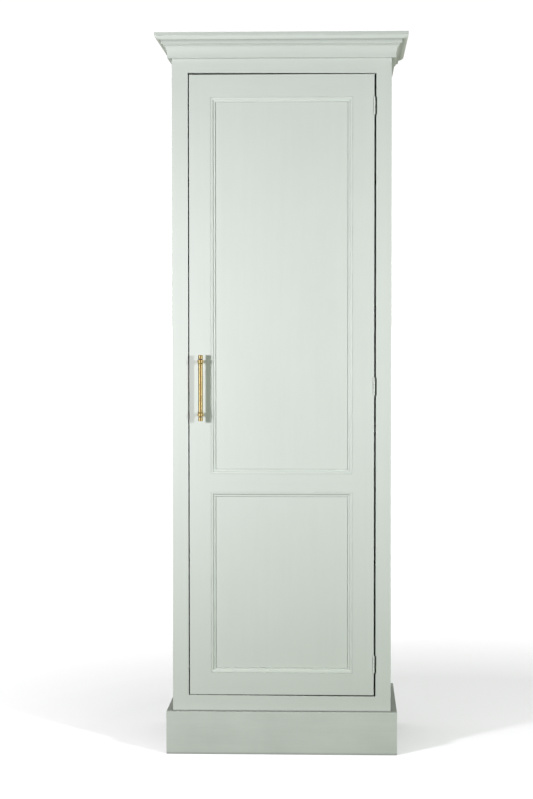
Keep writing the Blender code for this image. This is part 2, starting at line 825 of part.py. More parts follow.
def make_frame_leaf(name, level, spans, face, screw_y):
    """The plate is let in flush with the face frame's edge. A cranked web ties each knuckle to it."""
    half = HINGE_HEIGHT / 2
    low_corner = (face - LEAF_THICKNESS, FRONT + ARRIS, level - half)
    high_corner = (face, FRONT + LEAF_WIDTH, level + half)
    leaf = mesh_object(f"hinge_frame_leaf_{name}", box_mesh(low_corner, high_corner))
    stile = bpy.data.objects["frame_stile_right"]
    cut(stile, cutter_box(f"{name}_frame_leaf_housing", low_corner, high_corner, CLEARANCE))
    for index, (low, high) in enumerate(spans):
        middle = (0, 0, (low + high) / 2)
        section = cranked_web(face - LEAF_THICKNESS / 2)
        web_name = f"{name}_frame_web_{index}"
        join(leaf, outline_object(web_name, section, middle, (1, 0, 0), (0, 1, 0), high - low))
        join(leaf, knuckle(f"{name}_frame_knuckle_{index}", (low, high)))
    cut(leaf, pin_bore(name + "_frame", level))
    for index, z in enumerate(hinge_screws(level)):
        seat = (face - LEAF_THICKNESS - HINGE_SCREW_PROUD, screw_y, z)
        screw = screw_shape(
            f"{name}_frame_screw_{index}", seat, (1, 0, 0), HINGE_SCREW_RADIUS, HINGE_SCREW_LENGTH
        )
        join(leaf, screw)
        pilot(f"{name}_frame_pilot_{index}", "frame_stile_right", seat, (1, 0, 0))
    leaf.data.materials.append(painted(leaf.name))


def cranked_web(right):
    """The web's section, as seen from above: back from the knuckle, then across the gap."""
    left = HINGE_X + CLEARANCE
    front = HINGE_Y + WEB_SETBACK
    bridge_front = FRONT + BRIDGE_SETBACK
    bridge_back = bridge_front + LEAF_THICKNESS
    return [
        (left, front),
        (left + LEAF_THICKNESS, front),
        (left + LEAF_THICKNESS, bridge_front),
        (right, bridge_front),
        (right, bridge_back),
        (left, bridge_back),
    ]


def make_door_leaf(name, level, spans, face, leaf_y, screw_y):
    """The plate is let in flush with the door's edge."""
    half = HINGE_HEIGHT / 2
    near, far = leaf_y
    low_corner = (face - LEAF_THICKNESS, FRONT + ARRIS, level - half)
    high_corner = (face, far, level + half)
    leaf = mesh_object(f"hinge_door_leaf_{name}", box_mesh(low_corner, high_corner))
    stile = bpy.data.objects["door_stile_hinge"]
    cut(stile, cutter_box(f"{name}_leaf_housing", low_corner, high_corner, CLEARANCE))
    for index, (low, high) in enumerate(spans):
        web_low = (face - LEAF_THICKNESS, near, low)
        web_high = (face, FRONT + 2 * ARRIS, high)
        join(leaf, mesh_object(f"{name}_door_web_{index}", box_mesh(web_low, web_high)))
        join(leaf, knuckle(f"{name}_door_knuckle_{index}", (low, high)))
        cut(stile, cutter_box(f"{name}_web_housing_{index}", web_low, web_high, CLEARANCE))
    cut(leaf, pin_bore(name + "_door", level))
    for index, z in enumerate(hinge_screws(level)):
        seat = (face + HINGE_SCREW_PROUD, screw_y, z)
        screw = screw_shape(
            f"{name}_door_screw_{index}", seat, (-1, 0, 0), HINGE_SCREW_RADIUS, HINGE_SCREW_LENGTH
        )
        join(leaf, screw)
        pilot(f"{name}_door_pilot_{index}", "door_stile_hinge", seat, (-1, 0, 0))
    leaf.data.materials.append(painted(leaf.name))


def pilot(name, target, seat, direction):
    """A pilot hole for a hinge screw."""
    start = Vector(seat) - Vector(direction) * HINGE_SCREW_RADIUS
    end = Vector(seat) + Vector(direction) * (HINGE_SCREW_LENGTH + CLEARANCE)
    radius = HINGE_SCREW_RADIUS + CLEARANCE
    cutter = cutter_cylinder(name, start, end, radius, HINGE_SIDES // 2)
    cut(bpy.data.objects[target], cutter)


def make_hinge_pin(name, bottom):
    length = HINGE_HEIGHT + 2 * PIN_OVERHANG
    tip = PIN_OVERHANG / 2
    profile = [
        (0, 0),
        (PIN_RADIUS - tip, 0),
        (PIN_RADIUS, tip),
        (PIN_RADIUS, length - tip),
        (PIN_RADIUS - tip, length),
        (0, length),
    ]
    start = (HINGE_X, HINGE_Y, bottom - PIN_OVERHANG)
    pin = turned(f"hinge_pin_{name}", profile, start, UP, HINGE_SIDES)
    pin.data.materials.append(painted(pin.name))
    smooth(pin)


def bar_profile():
    """Half of the bar, from its middle to its end: straight, a neck outside the collar, a cap."""
    collar_end = HANDLE_CENTRES / 2 + COLLAR_END
    neck_end = collar_end + NECK_WIDTH
    end = HANDLE_LENGTH / 2
    return [
        (BAR_RADIUS, 0),
        (BAR_RADIUS, collar_end - NECK_WIDTH),
        (NECK_RADIUS, collar_end),
        (NECK_RADIUS, neck_end),
        (BAR_RADIUS, neck_end),
        (BAR_RADIUS, end - ARRIS),
        (BAR_RADIUS - ARRIS, end),
        (0, end),
    ]


def make_handle():
    half = bar_profile()
    profile = [(radius, -along) for radius, along in reversed(half[1:])] + half[1:]
    bar = turned("handle_bar", profile, (HANDLE_X, HANDLE_Y, HANDLE_HEIGHT), UP, HANDLE_SIDES)
    bar.data.materials.append(material("handle_bar_brass", BRASS, 0.2, 1.0))
    smooth(bar)
    for name, sign in (("upper", 1), ("lower", -1)):
        make_handle_post(name, sign)


def make_handle_post(name, sign):
    """A post with a collar that tapers towards the middle of the bar, and its machine screw."""
    level = HANDLE_HEIGHT + sign * HANDLE_CENTRES / 2
    bore = BAR_RADIUS + CLEARANCE
    outer_end = COLLAR_END
    shoulder = COLLAR_END - COLLAR_STRAIGHT
    inner_end = shoulder - COLLAR_TAPER
    taper = [
        (COLLAR_RADIUS + (bore - COLLAR_RADIUS) * fall, shoulder - COLLAR_TAPER * share)
        for share, fall in COLLAR_CURVE
    ]
    profile = [
        (COLLAR_RADIUS - ARRIS / 2, outer_end),
        (COLLAR_RADIUS, outer_end - ARRIS / 2),
        (COLLAR_RADIUS, shoulder),
        *taper,
        (bore + CLEARANCE, inner_end),
        (0, inner_end),
    ]
    axis_point = (HANDLE_X, HANDLE_Y, level)
    post = turned(
        f"handle_post_{name}", [(0, outer_end), *profile], axis_point, (0, 0, sign), HANDLE_SIDES
    )
    sides = HANDLE_SIDES // 2
    tip_y = FRONT - BOLT_ENGAGEMENT
    stem_end = (HANDLE_X, FRONT - CLEARANCE, level)
    stem = mesh_object(f"{name}_stem", cylinder_mesh(axis_point, stem_end, POST_RADIUS, sides))
    hole = cutter_cylinder(
        f"{name}_bolt_hole",
        (HANDLE_X, tip_y - CLEARANCE, level),
        (HANDLE_X, DOOR_BACK + BOLT_HEAD_HEIGHT, level),
        BOLT_RADIUS + CLEARANCE,
        sides,
    )
    cut(stem, hole)
    cut(bpy.data.objects["door_stile_handle"], hole)
    join(post, stem)
    bar_hole = cutter_cylinder(
        f"{name}_bar_hole",
        (HANDLE_X, HANDLE_Y, level - 2 * COLLAR_TAPER),
        (HANDLE_X, HANDLE_Y, level + 2 * COLLAR_TAPER),
        bore,
        HANDLE_SIDES,
    )
    cut(post, bar_hole)
    post.data.materials.append(material(f"handle_post_{name}_brass", BRASS, 0.2, 1.0))
    smooth(post)
    head_face = DOOR_BACK + CLEARANCE
    bolt_profile = [
        (0, 0),
        (BOLT_FACE_RADIUS, 0),
        (BOLT_HEAD_RADIUS, BOLT_HEAD_HEIGHT / 2),
        (BOLT_HEAD_RADIUS, BOLT_HEAD_HEIGHT),
        (BOLT_RADIUS, BOLT_HEAD_HEIGHT),
        (BOLT_RADIUS, head_face + BOLT_HEAD_HEIGHT - tip_y),
        (0, head_face + BOLT_HEAD_HEIGHT - tip_y),
    ]
    bolt = turned(
        f"handle_screw_{name}",
        bolt_profile,
        (HANDLE_X, head_face + BOLT_HEAD_HEIGHT, level),
        (0, -1, 0),
        sides,
    )
    bolt.data.materials.append(material(f"handle_screw_{name}_steel", STEEL, 0.35, 1.0))
    smooth(bolt)


def make_catch():
    """A magnetic catch behind the left stile, and the plate on the door that it holds."""
    face = DOOR_BACK + STRIKE_THICKNESS + 2 * CLEARANCE
    left = OPENING_LEFT - CATCH_HOLD
    low_z, high_z = CATCH_Z - CATCH_HEIGHT / 2, CATCH_Z + CATCH_HEIGHT / 2
    body = board(
        "magnetic_catch",
        (left, face, low_z),
        (left + CATCH_LENGTH, face + CATCH_DEPTH, high_z),
        lambda name: material(name + "_plastic", BLACK, 0.4),
        ARRIS / 2,
    )
    foot = box_mesh(
        (left, FRAME_BACK + CLEARANCE, low_z + ARRIS),
        (OPENING_LEFT - CLEARANCE, face + CATCH_DEPTH / 2, high_z - ARRIS),
    )
    join(body, mesh_object("catch_foot", foot))
    right = left + CATCH_LENGTH - ARRIS
    board(
        "catch_strike_plate",
        (right - STRIKE_LENGTH, DOOR_BACK + CLEARANCE, low_z),
        (right, DOOR_BACK + CLEARANCE + STRIKE_THICKNESS, high_z),
        lambda name: material(name + "_steel", STEEL, 0.3, 1.0),
        STRIKE_THICKNESS / 4,
    )


def gather_door():
    """Parents every piece that swings with the door to an empty on the hinge line."""
    hinge_line = bpy.data.objects.new("door_hinge_line", None)
    hinge_line.location = (HINGE_X, HINGE_Y, HINGE_LEVELS["middle"])
    PARTS.objects.link(hinge_line)
    bpy.context.view_layer.update()
    moving = ("door_", "moulding_", "hinge_door_leaf_", "handle_", "catch_strike_plate")
    for obj in PARTS.objects:
        if obj.type == "MESH" and obj.name.startswith(moving):
            obj.parent = hinge_line
            obj.matrix_parent_inverse = hinge_line.matrix_world.inverted()


def main():
    make_carcase()
    make_shelves()
    make_face_frame()
    make_plinth()
    make_cornice()
    make_door_frame()
    make_panels()
    make_mouldings()
    make_hinges()
    make_handle()
    make_catch()
    gather_door()


main()
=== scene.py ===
"""Looks of a tall painted larder cupboard with a brass bar handle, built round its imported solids.

Metres, +Z up. The door faces -Y. Sizes that repeat the solids' own carry the same names as there. The
gaps between knuckles, the bar's necks and the frame leaves' place are this scene's own.
"""

import math

import bmesh
import bpy
from mathutils import Matrix, Vector


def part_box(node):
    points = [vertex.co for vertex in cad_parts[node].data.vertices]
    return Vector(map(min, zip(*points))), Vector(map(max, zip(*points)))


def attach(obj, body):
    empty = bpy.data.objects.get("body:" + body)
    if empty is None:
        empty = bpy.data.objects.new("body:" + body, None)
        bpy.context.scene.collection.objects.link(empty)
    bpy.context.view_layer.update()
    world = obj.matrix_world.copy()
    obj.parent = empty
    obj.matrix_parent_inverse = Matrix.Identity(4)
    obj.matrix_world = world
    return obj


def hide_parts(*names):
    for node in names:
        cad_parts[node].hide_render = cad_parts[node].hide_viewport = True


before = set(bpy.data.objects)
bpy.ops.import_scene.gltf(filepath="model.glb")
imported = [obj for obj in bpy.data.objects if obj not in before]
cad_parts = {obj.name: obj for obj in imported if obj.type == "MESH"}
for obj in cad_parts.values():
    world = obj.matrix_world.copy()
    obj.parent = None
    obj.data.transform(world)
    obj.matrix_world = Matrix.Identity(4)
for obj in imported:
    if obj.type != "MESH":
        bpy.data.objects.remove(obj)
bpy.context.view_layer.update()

# Camera, fitted to the photograph's edges
FOCAL_PIXELS = 2088.8
FRAME_HEIGHT_PIXELS = 799
SENSOR = 36.0  # millimetres, along the frame's long side
CAMERA_X = 0.179
CAMERA_BACK = 6.0512  # in front of the face frame
CAMERA_Z = 1.2616
CAMERA_YAW = 0.0368
CAMERA_PITCH = -0.0377
CAMERA_ROLL = 0.0004

# Finish of the joinery
ARRIS_RADIUS = 0.0013
ARRIS_SEGMENTS = 3
FINE_ARRIS = 0.0005
HAIRLINE = 0.00004  # half of a tight joint
SEAT = 0.0003
EASED_BELOW = math.radians(140)  # blunter corners of a section stay as they are
EASED_SHARE = 2.5  # an eased corner takes at most a side's length divided by this

# Angles in degrees from which an edge shows as sharp
SHARP_ANGLE = 35
RUN_SHARP_ANGLE = 25
BOLT_SHARP_ANGLE = 40
TURNED_SHARP_ANGLE = 50

# Cornice, from the top down
CORNICE_PROJECTION = 0.047
CORNICE_FOOT = 0.0120
CAP_FILLET = 0.0085
OVOLO_RUN = 0.016
OVOLO_DROP = 0.0115
STEP_RUN = 0.0018
BAND_DROP = 0.0108
COVE_RUN = 0.0070
COVE_DROP = 0.0022
LIP_DROP = 0.0032
CURVE_STEPS = 14

# Carcase and face frame
SHELF_COUNT = 4
TOP_RAIL_FALL = 0.0034
BOTTOM_RAIL_FALL = 0.0024

# Panel moulding
PANEL_RECESS = 0.010
MOULDING_WIDTH = 0.0128
MOULDING_SUNK = 0.0013
MOULDING_FILLET = 0.0012
MOULDING_BEAD = 0.0068
MOULDING_BEAD_DROP = 0.0022
MOULDING_STEP = 0.0008
MOULDING_TOE = 0.0030
MOULDING_TOE_HEIGHT = 0.0034
QUIRK_WIDTH = 0.0010
QUIRK_DEPTH = 0.0012

# Hinges
KNUCKLE_RADIUS = 0.0024
KNUCKLE_EDGE = 0.0004
KNUCKLE_COUNT = 5
KNUCKLE_GAP = 0.0003
KNUCKLE_SIDES = 32
LEAF_THICKNESS = 0.0014
LEAF_WIDTH = 0.0165
LEAF_EDGE = 0.0003
LEAF_INSET = 0.0012  # from the face of the frame to the plate's front edge
FRAME_LEAF_INSET = 0.0062  # further back than the solid's
FRAME_RECESS = 0.0023  # cut into the frame's edge for a leaf
WEB_SETBACK = 0.0015
WEB_DEPTH = 0.0024
BRIDGE_SETBACK = 0.012
PIN_DOME = 0.0005
PIN_DOME_BEND = (0.8, 0.3)  # shares of the radius and of the dome at the bend of its outline
PIN_SIDES = 32
HINGE_SCREW_PITCH = 0.030
SCREW_HEAD_RADIUS = 0.0027
SCREW_HEAD_DEPTH = 0.0006
SCREW_DOME = 0.0002
SCREW_DOME_BEND = (0.6, 0.7)
SCREW_SIDES = 24
SCREW_SLOT = 0.0007
SCREW_SLOT_DEPTH = 0.0004
SCREW_SLOT_REACH = 1.1  # of the head's radius
SLOT_OVERCUT = 0.001  # by which the tool for a slot stands out of a head

# Handle
BAR_RADIUS = 0.0070
BAR_EDGE = 0.0009
BAR_EDGE_STEPS = 4
COLLAR_RADIUS = 0.0093
COLLAR_END = 0.0058
COLLAR_EDGE = ((0.0008, 0.0), (0.0002, 0.0003), (0.0, 0.0009))  # in from the wall, in from the end
COLLAR_STRAIGHT = 0.0064
COLLAR_TAPER = 0.0086
COLLAR_TAPER_STEPS = 10
COLLAR_CLEARANCE = 0.0001
NECK_RADIUS = 0.0052  # deeper and wider than the solid's
NECK_WIDTH = 0.0025
NECK_EDGE = 0.0004
NECK_LIP = 0.0003
GROOVE_RADIUS = 0.0062  # of the near-black ring that fills the neck, as painted shade
POST_RADIUS = 0.0042
POST_START = 0.98  # of the bar's radius
POST_FOOT = (  # out from the stem, up from the foot's end
    (0.0, 0.0028),
    (0.0004, 0.0022),
    (0.0016, 0.0016),
    (0.0018, 0.0010),
    (0.0018, 0.0),
)
POST_CLEARANCE = 0.0001
POST_SIDES = 48
TURNED_SIDES = 64
BOLT_HEAD_TO_SHANK = 2.1
BOLT_HEAD_STEPS = 6
BOLT_SIDES = 32
BOLT_SLOT_DEPTH = 0.0008
BOLT_SLOT_HALF = 0.0005

# Magnetic catch
CATCH_EDGE = 0.0008
CATCH_EDGE_SEGMENTS = 3
CATCH_FOOT_DEPTH = 0.004
CATCH_FOOT_INSET = 0.0012
PLATE_EDGE = 0.0003
POLE_LEVELS = {"lower": 0.3, "upper": 0.7}  # shares of the catch's height
POLE_HALF = 0.0008
POLE_INSET = 0.001
POLE_PROUD = 0.0002
POLE_DEPTH = 0.006
POLE_EDGE = 0.0002
DISH_RADIUS = 0.003
DISH_FLAT = 0.4  # of its radius
DISH_DEPTH = 0.0007
DISH_TOOL_HEIGHT = 0.002
DISH_SIDES = 32

# Colours of the finishes
PAINT = (0.610, 0.655, 0.600)
# Darker copy of the paint, as painted shade on the cornice
CORNICE_SHADED_PAINT = (0.583, 0.628, 0.574)
INSIDE_PAINT = (0.630, 0.665, 0.615)
# Lighter copy of the paint, as a painted highlight on the hinges
HINGE_HIGHLIGHT_PAINT = (0.700, 0.745, 0.690)
LOW_TINT = (0.985, 0.99, 0.955)  # tint that the paint takes on near the floor
BRASS = (0.82, 0.64, 0.33)
# Near-black brown of the ring in the bar's necks: painted shade
NECK_SHADE = (0.07, 0.032, 0.014)
TARNISH = (0.16, 0.11, 0.08)
STEEL = (0.44, 0.44, 0.43)
BLACK = (0.035, 0.035, 0.036)

# Paint. A noise is its scale, detail and roughness
GRAINS = {"x": (0.05, 1.0, 1.0), "y": (1.0, 0.05, 1.0), "z": (1.0, 1.0, 0.05)}
OWN_SHIFT = (17.0, 29.0, 41.0)  # the furthest that a piece's texture is moved
NOISE_SPAN = (0.3, 0.7)  # values between which most of a noise lies
STREAKS = (420.0, 3.0, 0.6)
STREAKS_CONTRAST = 0.035
WIDE_STREAKS = (60.0, 2.0, 0.5)
WIDE_STREAKS_CONTRAST = 0.030
WIDE_STREAKS_HEIGHT = 1.5  # against the fine ones'
CLOUDS = (7.0, 3.0, 0.55)
CLOUDS_CONTRAST = 0.045
SHEEN = (35.0, 3.0, 0.6)
EGGSHELL_ROUGHNESS = (0.40, 0.52)
EGGSHELL_SPECULAR = 0.42
BRUSH_BUMP = 0.12
BRUSH_RELIEF = 0.0004
CREASE_SAMPLES = 8
SHADED_FROM = 0.05  # openness of the tightest creases, which take the deepest painted shade
DEEPEST_SHADE = 0.12  # what is left of the paint's tone there, under painted shade
LEDGE_SLOPES = (0.35, 0.95)  # how far a face looks up, from where it counts as a ledge that takes painted shade
LOW_TINT_HEIGHTS = (0.0, 0.9)

# Knots
FIGURE_BEND = (11.0, 2.0, 0.5, 0.6)  # the last is a distortion
FIGURE = (95.0, 4.0, 0.7)
FIGURE_SHARE = 0.35
KNOT_SCALE = 13.0
KNOT_SHAPE = (1.0, 1.0, 1.6)
KNOT_RADII = (0.05, 0.22)
KNOT_RARITY = 0.72

# Metal and plastic
PATINA = (60.0, 4.0, 0.6)
PATINA_CONTRAST = 0.04
TARNISH_REACH = 0.002
TARNISH_SPAN = (0.25, 0.65)
TURNING_STRETCH = (30.0, 30.0, 1500.0)
ROLLING_STRETCH = (400.0, 400.0, 400.0)
TOOL_MARKS = (1.0, 2.0, 0.5)
METAL_BUMP = 0.02
METAL_RELIEF = 0.0002
GRIT = (900.0, 2.0, 0.5)
GRIT_CONTRAST = 0.3
GRIT_SPAN = (0.2, 0.8)
PLASTIC_ROUGHNESS = (0.42, 0.6)
PLASTIC_BUMP = 0.2
PLASTIC_RELIEF = 0.0001

# Studio
WHITE = (1.0, 1.0, 1.0)
KEY_RADIUS = 0.12
KEY_COLOUR = (0.95, 0.91, 0.98)
KEY_ANGLE = math.radians(29.9)
KEY_DISTANCE = 1.6
KEY_HEIGHT = 1.2
KEY_POWER = 138.0
FILL_RADIUS = 0.07
FILL_COLOUR = (0.92, 0.93, 0.945)
FILL_ANGLE = math.radians(41.3)
FILL_DISTANCE = 1.8
FILL_HEIGHT = 1.28
FILL_POWER = 121.0
SIDE_LAMP_POWER = 23.0
SIDE_LAMP_COLOUR = (1.0, 0.94, 0.88)
SIDE_LAMP_DISTANCE = 2.0
SIDE_LAMP_DROP = 0.6
SIDE_LAMP_BACK = 0.25  # behind the face of the frame, so it only lights the cupboard's side
SIDE_LAMP_SIZE = (0.4, 0.6)
BACK_LAMP_POWER = 125.0
BACK_LAMP_OFFSET = (0, 2.6, 1.3)  # from the top's back edge
BACK_LAMP_SIZE = (1.6, 1.6)
BRASS_LIGHT_ANGLE = math.radians(48)
BRASS_LIGHT_DISTANCE = 1.0
BRASS_LIGHT_SIZE = (0.45, 1.4)
BRASS_KEY_POWER = 6.0
BRASS_FILL_POWER = 4.9
BRASS_FRONT_POWER = 1.2
BRASS_FRONT_COLOUR = (1.0, 0.72, 0.30)
FLOOR_SUN = 2.27
FLOOR_SUN_COLOUR = (1.03, 0.985, 1.045)
FLOOR_SUN_ANGLE = math.radians(110)
AMBIENT_COLOUR = (0.58, 1.0, 0.45)
AMBIENT_SIDE = 0.0  # from the level of the horizon
AMBIENT_TOP = 0.14
BACKDROP_STRENGTH = 1.05  # of the white that the camera sees behind everything
FLOOR_SIZE = 400.0
FLOOR_ALBEDO = 0.9
FLOOR_FADE_FROM = (0.5, 0.0, 0.0)
FLOOR_FADE = (1.1, 5.0)  # distances from there over which the floor fades into white
FLOOR_BOUNCE = 0.05  # of the ambient colour, in what the floor throws back

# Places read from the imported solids
stile_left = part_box("frame_stile_left")
stile_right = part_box("frame_stile_right")
door_stile_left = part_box("door_stile_handle")
door_stile_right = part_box("door_stile_hinge")
FRONT = stile_left[0].y
FRAME_BACK = stile_left[1].y
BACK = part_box("side_left")[1].y
HALF_WIDTH = stile_right[1].x
HEIGHT = stile_left[1].z
OPENING_LEFT = stile_left[1].x
OPENING_RIGHT = stile_right[0].x
DOOR_RIGHT = door_stile_right[1].x
DOOR_BACK = door_stile_left[1].y
SIGHT_LEFT = door_stile_left[1].x
SIGHT_RIGHT = door_stile_right[0].x
PANEL_FRONT = FRONT + PANEL_RECESS
HINGE_LEVELS = ("upper", "middle", "lower")

shown_pieces = []  # pairs of a piece and its sharp angle


def add_node(tree, kind, inputs=None, **settings):
    """A shader node. An input is a value, or another node's output to link."""
    node = tree.nodes.new(kind)
    for name, value in settings.items():
        setattr(node, name, value)
    for key, value in (inputs or {}).items():
        if isinstance(value, bpy.types.NodeSocket):
            tree.links.new(value, node.inputs[key])
        else:
            node.inputs[key].default_value = value
    return node


def maths(tree, operation, first, second):
    return add_node(tree, "ShaderNodeMath", {0: first, 1: second}, operation=operation).outputs[0]


def vector_maths(tree, operation, first, second):
    key = "Scale" if operation == "SCALE" else 1
    inputs = {0: first, key: second}
    return add_node(tree, "ShaderNodeVectorMath", inputs, operation=operation).outputs[0]


def height_of(tree, vector):
    return add_node(tree, "ShaderNodeSeparateXYZ", {0: vector}).outputs["Z"]


def noise_value(tree, vector, scale, detail, roughness, distortion=0.0):
    inputs = {
        "Vector": vector,
        "Scale": scale,
        "Detail": detail,
        "Roughness": roughness,
        "Distortion": distortion,
    }
    return add_node(tree, "ShaderNodeTexNoise", inputs).outputs["Fac"]


def around_one(tree, value, amount):
    """Maps a noise of about 0.5 to a factor of about 1."""
    centred = maths(tree, "SUBTRACT", value, 0.5)
    scaled = maths(tree, "MULTIPLY", centred, amount)
    return maths(tree, "ADD", scaled, 1.0)


def ranged(tree, value, source, target):
    """Maps a value from one range to another, and holds it there."""
    inputs = {
        "Value": value,
        "From Min": source[0],
        "From Max": source[1],
        "To Min": target[0],
        "To Max": target[1],
    }
    return add_node(tree, "ShaderNodeMapRange", inputs).outputs[0]


def mixed(tree, share, first, second):
    inputs = {0: share, 6: first, 7: second}
    return add_node(tree, "ShaderNodeMix", inputs, data_type="RGBA").outputs[2]


def openness(tree, reach):
    """1 in the open, and less in a crease."""
    inputs = {"Distance": reach}
    node = add_node(
        tree, "ShaderNodeAmbientOcclusion", inputs, samples=CREASE_SAMPLES, only_local=False
    )
    return node.outputs["AO"]


def add_bump(tree, shader, height, strength, distance):
    inputs = {"Height": height, "Strength": strength, "Distance": distance}
    bump = add_node(tree, "ShaderNodeBump", inputs)
    tree.links.new(bump.outputs[0], shader.inputs["Normal"])


def new_material(name):
    material = bpy.data.materials.new(name)
    material.use_nodes = True
    return material, material.node_tree, material.node_tree.nodes["Principled BSDF"]


def own_place(tree):
    """Coordinates in the frame, shifted by a different amount on each piece."""
    place = add_node(tree, "ShaderNodeTexCoord").outputs["Object"]
    chance = add_node(tree, "ShaderNodeObjectInfo").outputs["Random"]
    return vector_maths(tree, "ADD", place, vector_maths(tree, "SCALE", OWN_SHIFT, chance))


def paint(
    name,
    colour,
    grain,
    brushing=1.0,
    mottling=1.0,
    knots=0.0,
    crease_shading=0.42,
    reach=0.007,
    ledge_shade=1.0,
):
    """Brushed eggshell paint: streaks along the grain, faint mottling, painted shade in creases and on
    upward-facing ledges, and a tint towards the floor.
    """
    material, tree, shader = new_material(name)
    place = own_place(tree)
    along = vector_maths(tree, "MULTIPLY", place, GRAINS[grain])
    streaks = noise_value(tree, along, *STREAKS)
    wide_streaks = noise_value(tree, along, *WIDE_STREAKS)
    clouds = noise_value(tree, place, *CLOUDS)
    factors = [
        around_one(tree, wide_streaks, WIDE_STREAKS_CONTRAST * brushing),
        around_one(tree, clouds, CLOUDS_CONTRAST * mottling),
    ]
    if knots:
        factors.append(knot_tone(tree, place, along, knots))
    # Painted shade in creases, gaps and recesses, deeper where a point is less open
    factors.append(ranged(tree, openness(tree, reach), (SHADED_FROM, crease_shading), (DEEPEST_SHADE, 1.0)))
    # Painted shade on faces that look up, such as the plinth's ledge
    slope = height_of(tree, add_node(tree, "ShaderNodeNewGeometry").outputs["Normal"])
    factors.append(ranged(tree, slope, LEDGE_SLOPES, (1.0, ledge_shade)))
    tone = around_one(tree, streaks, STREAKS_CONTRAST * brushing)
    for factor in factors:
        tone = maths(tree, "MULTIPLY", tone, factor)
    clean = vector_maths(tree, "SCALE", colour, tone)
    # Slightly darker and yellower towards the floor
    height = height_of(tree, add_node(tree, "ShaderNodeTexCoord").outputs["Object"])
    low_share = ranged(tree, height, LOW_TINT_HEIGHTS, (1.0, 0.0))
    painted = mixed(tree, low_share, clean, vector_maths(tree, "MULTIPLY", clean, LOW_TINT))
    tree.links.new(painted, shader.inputs["Base Color"])
    sheen = ranged(tree, noise_value(tree, along, *SHEEN), NOISE_SPAN, EGGSHELL_ROUGHNESS)
    tree.links.new(sheen, shader.inputs["Roughness"])
    shader.inputs["Specular IOR Level"].default_value = EGGSHELL_SPECULAR
    wide_relief = maths(tree, "MULTIPLY", wide_streaks, WIDE_STREAKS_HEIGHT)
    relief = maths(tree, "ADD", streaks, wide_relief)
    add_bump(tree, shader, relief, BRUSH_BUMP * brushing, BRUSH_RELIEF)
    return material


def knot_tone(tree, place, along, strength):
    """Sparse knots and grain of the softwood, which show faintly through the paint."""
    bent = noise_value(tree, place, *FIGURE_BEND)
    squeezed = vector_maths(tree, "MULTIPLY", place, KNOT_SHAPE)
    inputs = {"Vector": squeezed, "Scale": KNOT_SCALE}
    cells = add_node(tree, "ShaderNodeTexVoronoi", inputs, feature="F1")
    spot = ranged(tree, cells.outputs["Distance"], KNOT_RADII, (1.0, 0.0))
    lottery = add_node(tree, "ShaderNodeSeparateColor", {"Color": cells.outputs["Color"]}).outputs[0]
    spot = maths(tree, "MULTIPLY", spot, maths(tree, "GREATER_THAN", lottery, KNOT_RARITY))
    grain = maths(tree, "MULTIPLY", noise_value(tree, along, *FIGURE), bent)
    figure = maths(tree, "ADD", maths(tree, "MULTIPLY", grain, FIGURE_SHARE), spot)
    return maths(tree, "SUBTRACT", 1.0, maths(tree, "MULTIPLY", figure, strength))


def metal(name, colour, roughness, spread, stretch):
    """Metal with fine tool marks, tarnished in its creases."""
    material, tree, shader = new_material(name)
    place = own_place(tree)
    shader.inputs["Metallic"].default_value = 1.0
    patina = noise_value(tree, place, *PATINA)
    bright = vector_maths(tree, "SCALE", colour, around_one(tree, patina, PATINA_CONTRAST))
    clear = ranged(tree, openness(tree, TARNISH_REACH), TARNISH_SPAN, (0.0, 1.0))
    toned = mixed(tree, clear, vector_maths(tree, "MULTIPLY", bright, TARNISH), bright)
    tree.links.new(toned, shader.inputs["Base Color"])
    marks = noise_value(tree, vector_maths(tree, "MULTIPLY", place, stretch), *TOOL_MARKS)
    polish = ranged(tree, marks, NOISE_SPAN, (roughness - spread, roughness + spread))
    tree.links.new(polish, shader.inputs["Roughness"])
    add_bump(tree, shader, marks, METAL_BUMP, METAL_RELIEF)
    return material


def plastic(name, colour):
    """A dull, gritty coat or moulding."""
    material, tree, shader = new_material(name)
    grit = noise_value(tree, own_place(tree), *GRIT)
    toned = vector_maths(tree, "SCALE", colour, around_one(tree, grit, GRIT_CONTRAST))
    tree.links.new(toned, shader.inputs["Base Color"])
    tree.links.new(ranged(tree, grit, GRIT_SPAN, PLASTIC_ROUGHNESS), shader.inputs["Roughness"])
    add_bump(tree, shader, grit, PLASTIC_BUMP, PLASTIC_RELIEF)
    return material


outside_paint = {grain: paint(f"sage_paint_{grain}", PAINT, grain) for grain in GRAINS}
# Paint of the face frame and the door frame, with strong painted shade in their gaps and creases
frame_paint = {
    grain: paint(f"frame_paint_{grain}", PAINT, grain, crease_shading=0.80, reach=0.006) for grain in GRAINS
}
inside_paint = {grain: paint(f"inside_paint_{grain}", INSIDE_PAINT, grain) for grain in GRAINS}
# Paint of the plinth, with painted shade in its creases and strong painted shade on its ledge
plinth_paint = {
    grain: paint(
        f"plinth_paint_{grain}",
        PAINT,
        grain,
        brushing=2.2,
        mottling=4.5,
        knots=0.15,
        crease_shading=0.85,
        reach=0.012,
        ledge_shade=0.36,
    )
    for grain in ("x", "y")
}
# The cornice's paint, darkened as painted shade, with strong painted shade in its creases
cornice_shaded_paint = {
    grain: paint(f"cornice_paint_{grain}", CORNICE_SHADED_PAINT, grain, crease_shading=0.95, reach=0.010)
    for grain in ("x", "y")
}
# Hinge paint, lightened as a painted highlight, with painted shade in its slots and creases
hinge_highlight_paint = paint("hinge_highlight_paint", HINGE_HIGHLIGHT_PAINT, "z", brushing=0.6, mottling=0.6, crease_shading=0.7)
brass = metal("turned_brass", BRASS, roughness=0.24, spread=0.02, stretch=TURNING_STRETCH)
